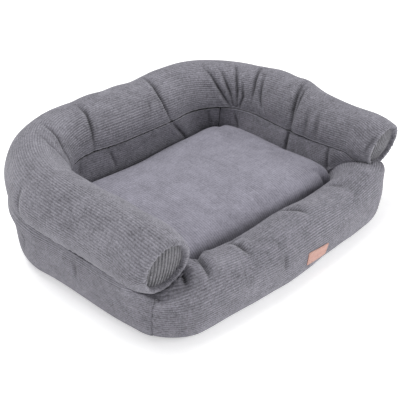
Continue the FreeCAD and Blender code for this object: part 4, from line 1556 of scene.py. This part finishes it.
sheet_fit = np.linalg.lstsq(surface_terms(lattice), depths, rcond=None)[0]
stand_off = float(np.percentile(surface_terms(lattice) @ sheet_fit - depths, 90))


def on_label(local, height):
    """Points over the wall on the label, at a height over its back."""
    plan = label_place(local)
    depth = surface_terms(local) @ sheet_fit - stand_off - height
    return np.column_stack([plan[:, 0], depth, plan[:, 1]])


def rounded_box(half, radius, count):
    """Outline of a rounded rectangle round its own middle."""
    corners = [((half[0] - radius) * i, (half[1] - radius) * j, start) for i, j, start in
               ((1, 1, 0), (-1, 1, 90), (-1, -1, 180), (1, -1, 270))]
    path = np.vstack([arc_points((x, y), radius, start, start + 90, 12) for x, y, start in corners])
    path = np.vstack([path, path[:1]])
    reach = np.concatenate([[0], np.cumsum(np.hypot(*np.diff(path, axis=0).T))])
    steps = np.linspace(0, reach[-1], count, endpoint=False)
    return np.column_stack([np.interp(steps, reach, path[:, k]) for k in (0, 1)])


label_outline = rounded_box(label_size, 0.003, 220)


def pressed(local):
    """Depth of the pressed line and paw."""
    inside = (label_size - np.abs(local)).min(axis=1)
    line = np.exp(-((inside - 0.0042) / 0.0004) ** 2) * 0.00025
    paw = np.zeros(len(local))
    toes = ((-0.0045, 0.0014), (-0.0017, 0.0038), (0.0017, 0.0038), (0.0045, 0.0014))
    for x, y, a, b in [(0, -0.0022, 0.0036, 0.0028)] + [(*toe, 0.0013, 0.0019) for toe in toes]:
        away = np.hypot((local[:, 0] + 0.016 - x) / a, (local[:, 1] - y) / b)
        paw = np.maximum(paw, smooth((1.12 - away) / 0.25))
    for x in (-0.004, 0.004, 0.012, 0.020):
        bar = np.maximum(np.abs(local[:, 0] - x) / 0.0028, np.abs(local[:, 1]) / 0.0036)
        ring = smooth((1.0 - bar) / 0.2) * (1 - smooth((0.62 - bar) / 0.2))
        paw = np.maximum(paw, ring)
    return line + paw * 0.0004


label_rows = []
shares = 1 - (1 - np.linspace(0, 1, 34)) ** 1.15
for share in shares:
    local = label_outline * np.maximum(share, 0.02)
    label_rows.append(on_label(local, np.zeros(len(local))))
for share in shares[::-1]:
    local = label_outline * np.maximum(share, 0.02)
    inside = (label_size - np.abs(local)).min(axis=1)
    height = label_thickness - 0.0005 * (1 - smooth(inside / 0.0012)) - pressed(local)
    label_rows.append(on_label(local, height))
label = grid_mesh("label_tab", np.array(label_rows), np.arange(len(label_rows)) * 1.0, np.arange(221) * 1.0)
plan_map(label, 0, 2)

# %% [markdown]
# ## Stitches, dots and the zip
# Running stitches hold the label. The rubber dots sit on a lattice under the base. The zip is closed: its
# two tapes lie on the cushion's back, a spiral of nylon runs along each, and the slider is parked at one
# end with a stop beyond it.

# %% Stitches and dots
stitch_path = np.array([[-1.5, 0, -0.12], [-1.1, 0, 0.12], [0, 0, 0.22], [1.1, 0, 0.12], [1.5, 0, -0.12]]) / 1000
stitch = small_mesh("stitch_part", *tube(stitch_path, np.array([0.16, 0.3, 0.34, 0.3, 0.16]) / 1000, 8))
stitch_local = rounded_box(label_size - 0.0024, 0.0018, 90)
stitch_line = on_label(stitch_local, np.full(90, label_thickness + 0.0001))
stitches = repeated("label_thread", along_line, stitch_line, stitch, thread_look, closed=True, Pitch=0.0044,
                    **{"Size Spread": 0.06, "Turn Spread": 0.05})

dot_ring = np.linspace(0, 2 * math.pi, 8, endpoint=False)
dot_radius, dot_height = 0.0023, 0.0012
dot_points = [[0, 0, 0]] + [[0.0018 * math.cos(t), 0.0018 * math.sin(t), 0.0002] for t in dot_ring]
dot_points += [[dot_radius * math.cos(t), dot_radius * math.sin(t), dot_height] for t in dot_ring]
dot_points += [[0, 0, dot_height]]
dot_faces = [[0, 1 + (k + 1) % 8, 1 + k] for k in range(8)]
dot_faces += [[1 + k, 1 + (k + 1) % 8, 9 + (k + 1) % 8, 9 + k] for k in range(8)]
dot_faces += [[17, 9 + k, 9 + (k + 1) % 8] for k in range(8)]
dot = small_mesh("dot_part", dot_points, dot_faces)
dots_low, dots_high = box_of("grip_dots")
dot_pitch = 0.015
spots = []
for row, y in enumerate(np.arange(dots_low[1] + dot_radius, dots_high[1], dot_pitch * math.sqrt(0.75))):
    for x in np.arange(dots_low[0] + dot_radius + dot_pitch / 2 * (row % 2), dots_high[0] - 0.0022, dot_pitch):
        spots.append([x, y, dots_low[2]])
spots = np.array(spots)
inner_line = Outline(dots_high[0], dots_low[1], dots_high[1], 0.030, 0.165, base_bow, 0.5)
border = whole_outline(inner_line, 400)
turn_of = np.arctan2(border[:, 1], border[:, 0])
order = np.argsort(turn_of)
limit = np.interp(np.arctan2(spots[:, 1], spots[:, 0]), turn_of[order], np.hypot(*border.T)[order],
                  period=2 * math.pi)
spots = spots[np.hypot(spots[:, 0], spots[:, 1]) < limit - 0.002]
dots = repeated("underside_dots", on_lattice, spots, dot, rubber_look, **{"Size Spread": 0.04, "Turn Spread": 0.0})
print("dots", len(spots))

# %% Zip
tape_low, tape_high = box_of("zip_upper_tape")
lower_low, lower_high = box_of("zip_lower_tape")
coil_low, coil_high = box_of("zip_upper_coil")
lower_coil_low, lower_coil_high = box_of("zip_lower_coil")
slider_low, slider_high = box_of("zip_slider")
stops_low, stops_high = box_of("zip_stops")
zip_z = (lower_high[2] + tape_low[2]) / 2
tooth_pitch = 0.0012


def tooth(sign):
    """One turn of the nylon spiral: a hook that reaches over the middle of the zip."""
    half = (coil_high[2] - coil_low[2]) / 2
    turn = np.linspace(0, 2 * math.pi, 11)[:-1]
    path = np.column_stack([0.00025 * np.sin(turn), (coil_high[1] - coil_low[1]) * 0.32 * np.cos(turn),
                            half * 1.02 * np.sin(turn) - sign * 0.0002])
    return small_mesh("tooth_part", *tube(path, 0.00022, 6, closed=True))


zip_pieces = []
for name, low, high, sign in (("zip_upper_teeth", coil_low, coil_high, 1),
                              ("zip_lower_teeth", lower_coil_low, lower_coil_high, -1)):
    middle = (low + high) / 2
    line = np.array([[low[0] + 0.0005, middle[1], middle[2]], [high[0] - 0.0005, middle[1], middle[2]]])
    if sign < 0:
        line[:, 0] += tooth_pitch / 2
    zip_pieces.append(repeated(name, along_line, line, tooth(sign), nylon_look, Pitch=tooth_pitch,
                               **{"Size Spread": 0.0, "Turn Spread": 0.0}))


def bevelled(name, parts, width=0.0003, segments=2):
    """Joined boxes with rounded edges: each part is (low corner, high corner)."""
    shape = bmesh.new()
    for low, high in parts:
        low, high = np.array(low, float), np.array(high, float)
        made = bmesh.ops.create_cube(shape, size=1.0)
        for vertex in made["verts"]:
            vertex.co = Vector((low + high) / 2) + Vector((high - low) * np.array(vertex.co))
    bmesh.ops.bevel(shape, geom=shape.edges[:], offset=width, segments=segments, affect="EDGES")
    bmesh.ops.recalc_face_normals(shape, faces=shape.faces)
    mesh = bpy.data.meshes.new(name)
    shape.to_mesh(mesh)
    shape.free()
    mesh.polygons.foreach_set("use_smooth", [True] * len(mesh.polygons))
    return add_object(name, mesh)


def tape_grid(name, low, high):
    """A zip tape: a thin strip, its front face faintly rippled."""
    length = np.linspace(low[0], high[0], 160)
    across = np.linspace(low[2], high[2], 13)
    rows = []
    for x in length:
        wave = 0.00008 * np.sin(x / 0.0013) + 0.00006 * np.sin(across / 0.0006)
        front = np.column_stack([np.full(13, x), high[1] - 0.00015 + wave, across])
        back = np.column_stack([np.full(13, x), np.full(13, low[1]), across])[::-1]
        rows.append(np.vstack([front, back]))
    thing = grid_mesh(name, np.array(rows), np.arange(160) * 1.0, np.arange(27) * 1.0)
    plan_map(thing, 0, 2)
    return thing


upper_tape, lower_tape = tape_grid("upper_tape", tape_low, tape_high), tape_grid("lower_tape", lower_low, lower_high)
stop_length, plate = 0.0019, 0.0009
stops = bevelled("zip_end_stops", [
    (stops_low, (stops_low[0] + stop_length, *stops_high[1:])),
    ((stops_high[0] - stop_length, *stops_low[1:]), stops_high)])
slider = bevelled("zip_slider_body", [
    ((slider_low[0], slider_high[1] - plate, slider_low[2]), slider_high),
    ((slider_low[0], slider_low[1], slider_low[2] + 0.0008),
     (slider_high[0], slider_low[1] + plate, slider_high[2] - 0.0008)),
    ((slider_high[0] - 0.0018, slider_low[1] + 0.0004, zip_z - 0.0003),
     (slider_high[0], slider_high[1] - 0.0004, zip_z + 0.0003))], 0.0002)

# %% [markdown]
# ## Who rides on what
# Each looks piece is tied to the body it moves with and says which solids it stands for, and those solids are hidden.


# %% Declarations
def place(thing, body, look, slot, *nodes, fill=None):
    """Gives a piece its material and body, and hides the solids it replaces; slot is not used."""
    if not thing.data.materials:
        for one in look if isinstance(look, list) else [look]:
            thing.data.materials.append(one)
    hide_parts(*nodes)
    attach(thing, body)


place(bolster, "bed", bolster_cloth, "bolster_cord", "bolster_cover", "bolster_fill", fill=0.85)
place(left_panel, "bed", panel_cloth, "disc_cord", "left_end_disc", fill=0.7)
place(right_panel, "bed", panel_cloth, "disc_cord", "right_end_disc", fill=0.7)
for thing, side_name in ((front_wall, "front"), (left_wall, "left"), (right_wall, "right"), (back_wall, "back")):
    place(thing, "bed", wall_cloth, "wall_cord", side_name + "_wall_cover", side_name + "_wall_fill", fill=0.75)
place(cushion, "cushion", [cushion_cloth_look, lining_look], "cushion_cord", "cushion_top_cover",
      "cushion_base_cover", "cushion_fill", fill=0.7)
place(floor_pad, "bed", lining_look, "lining_cloth", "floor_lining", "floor_wadding", fill=0.5)
place(underside, "bed", underside_look, "underside_cloth", "underside_panel")
place(dots, "bed", rubber_look, "grip_rubber", "grip_dots")
place(label, "bed", leather_look, "label_leather", "label")
place(stitches, "bed", thread_look, "thread", "label_stitches")
place(upper_tape, "cushion", tape_look, "zip_tape", "zip_upper_tape")
place(lower_tape, "cushion", tape_look, "zip_tape", "zip_lower_tape")
place(zip_pieces[0], "cushion", nylon_look, "zip_nylon", "zip_upper_coil")
place(zip_pieces[1], "cushion", nylon_look, "zip_nylon", "zip_lower_coil")
place(stops, "cushion", metal_look, "zip_metal", "zip_stops")
place(slider, "zip_slider", metal_look, "zip_metal", "zip_slider")

# %% [markdown]
# ## The room
# A wide pale floor that glows a little, so that it stays white and throws light up onto the bed, an
# even white sky, and two large soft lamps: one high above the bed, so that the seams fall into shade,
# and a weaker one low at the front right.

# %% Floor, light and camera
floor_mesh = bpy.data.meshes.new("floor")
floor_mesh.from_pydata([(-60, -60, 0), (60, -60, 0), (60, 60, 0), (-60, 60, 0)], [], [(0, 1, 2, 3)])
floor = add_object("floor", floor_mesh)
floor_look = bpy.data.materials.new("floor")
floor_look.use_nodes = True
floor_shader = floor_look.node_tree.nodes["Principled BSDF"]
floor_graph = Graph(floor_look.node_tree)
speckle = floor_graph.noise(floor_graph.add("ShaderNodeTexCoord").outputs["Object"], 300.0)
floor_look.node_tree.links.new(floor_graph.mix(speckle, (0.93, 0.93, 0.93, 1), (0.95, 0.95, 0.95, 1)),
                               floor_shader.inputs["Base Color"])
floor_shader.inputs["Roughness"].default_value = 0.9
# The floor glows though it is no lamp: its emission keeps it white and lights the bed's lower faces.
floor_shader.inputs["Emission Color"].default_value = (1, 1, 1, 1)
floor_shader.inputs["Emission Strength"].default_value = 0.44
floor_mesh.materials.append(floor_look)

world = bpy.data.worlds.new("studio")
world.use_nodes = True
world.node_tree.nodes["Background"].inputs[0].default_value = (1, 1, 1, 1)
world.node_tree.nodes["Background"].inputs[1].default_value = 0.5
bpy.context.scene.world = world


def lamp(name, at, toward, size, power):
    """A square soft lamp."""
    data = bpy.data.lights.new(name, "AREA")
    data.shape, data.size, data.energy = "SQUARE", size, power
    thing = bpy.data.objects.new(name, data)
    thing.location = at
    thing.rotation_euler = (Vector(toward) - Vector(at)).to_track_quat("-Z", "Y").to_euler()
    bpy.context.collection.objects.link(thing)


lamp("key", (-0.45, 0.40, 2.5), (0, 0, 0.05), 1.3, 38)
lamp("fill", (1.4, -2.0, 0.9), (0, 0, 0.1), 1.2, 19)
bpy.context.scene.view_settings.view_transform = "Standard"
camera_data = bpy.data.cameras.new("camera")
camera_data.lens, camera_data.sensor_width = 67.8, 36.0
camera_data.clip_end = 200
camera = bpy.data.objects.new("camera", camera_data)
camera.location = (-0.8934, -0.9011, 0.7936)
target = Vector((-0.0268, -0.0405, 0.0799))
camera.rotation_euler = (target - camera.location).to_track_quat("-Z", "Y").to_euler()
bpy.context.collection.objects.link(camera)
bpy.context.scene.camera = camera
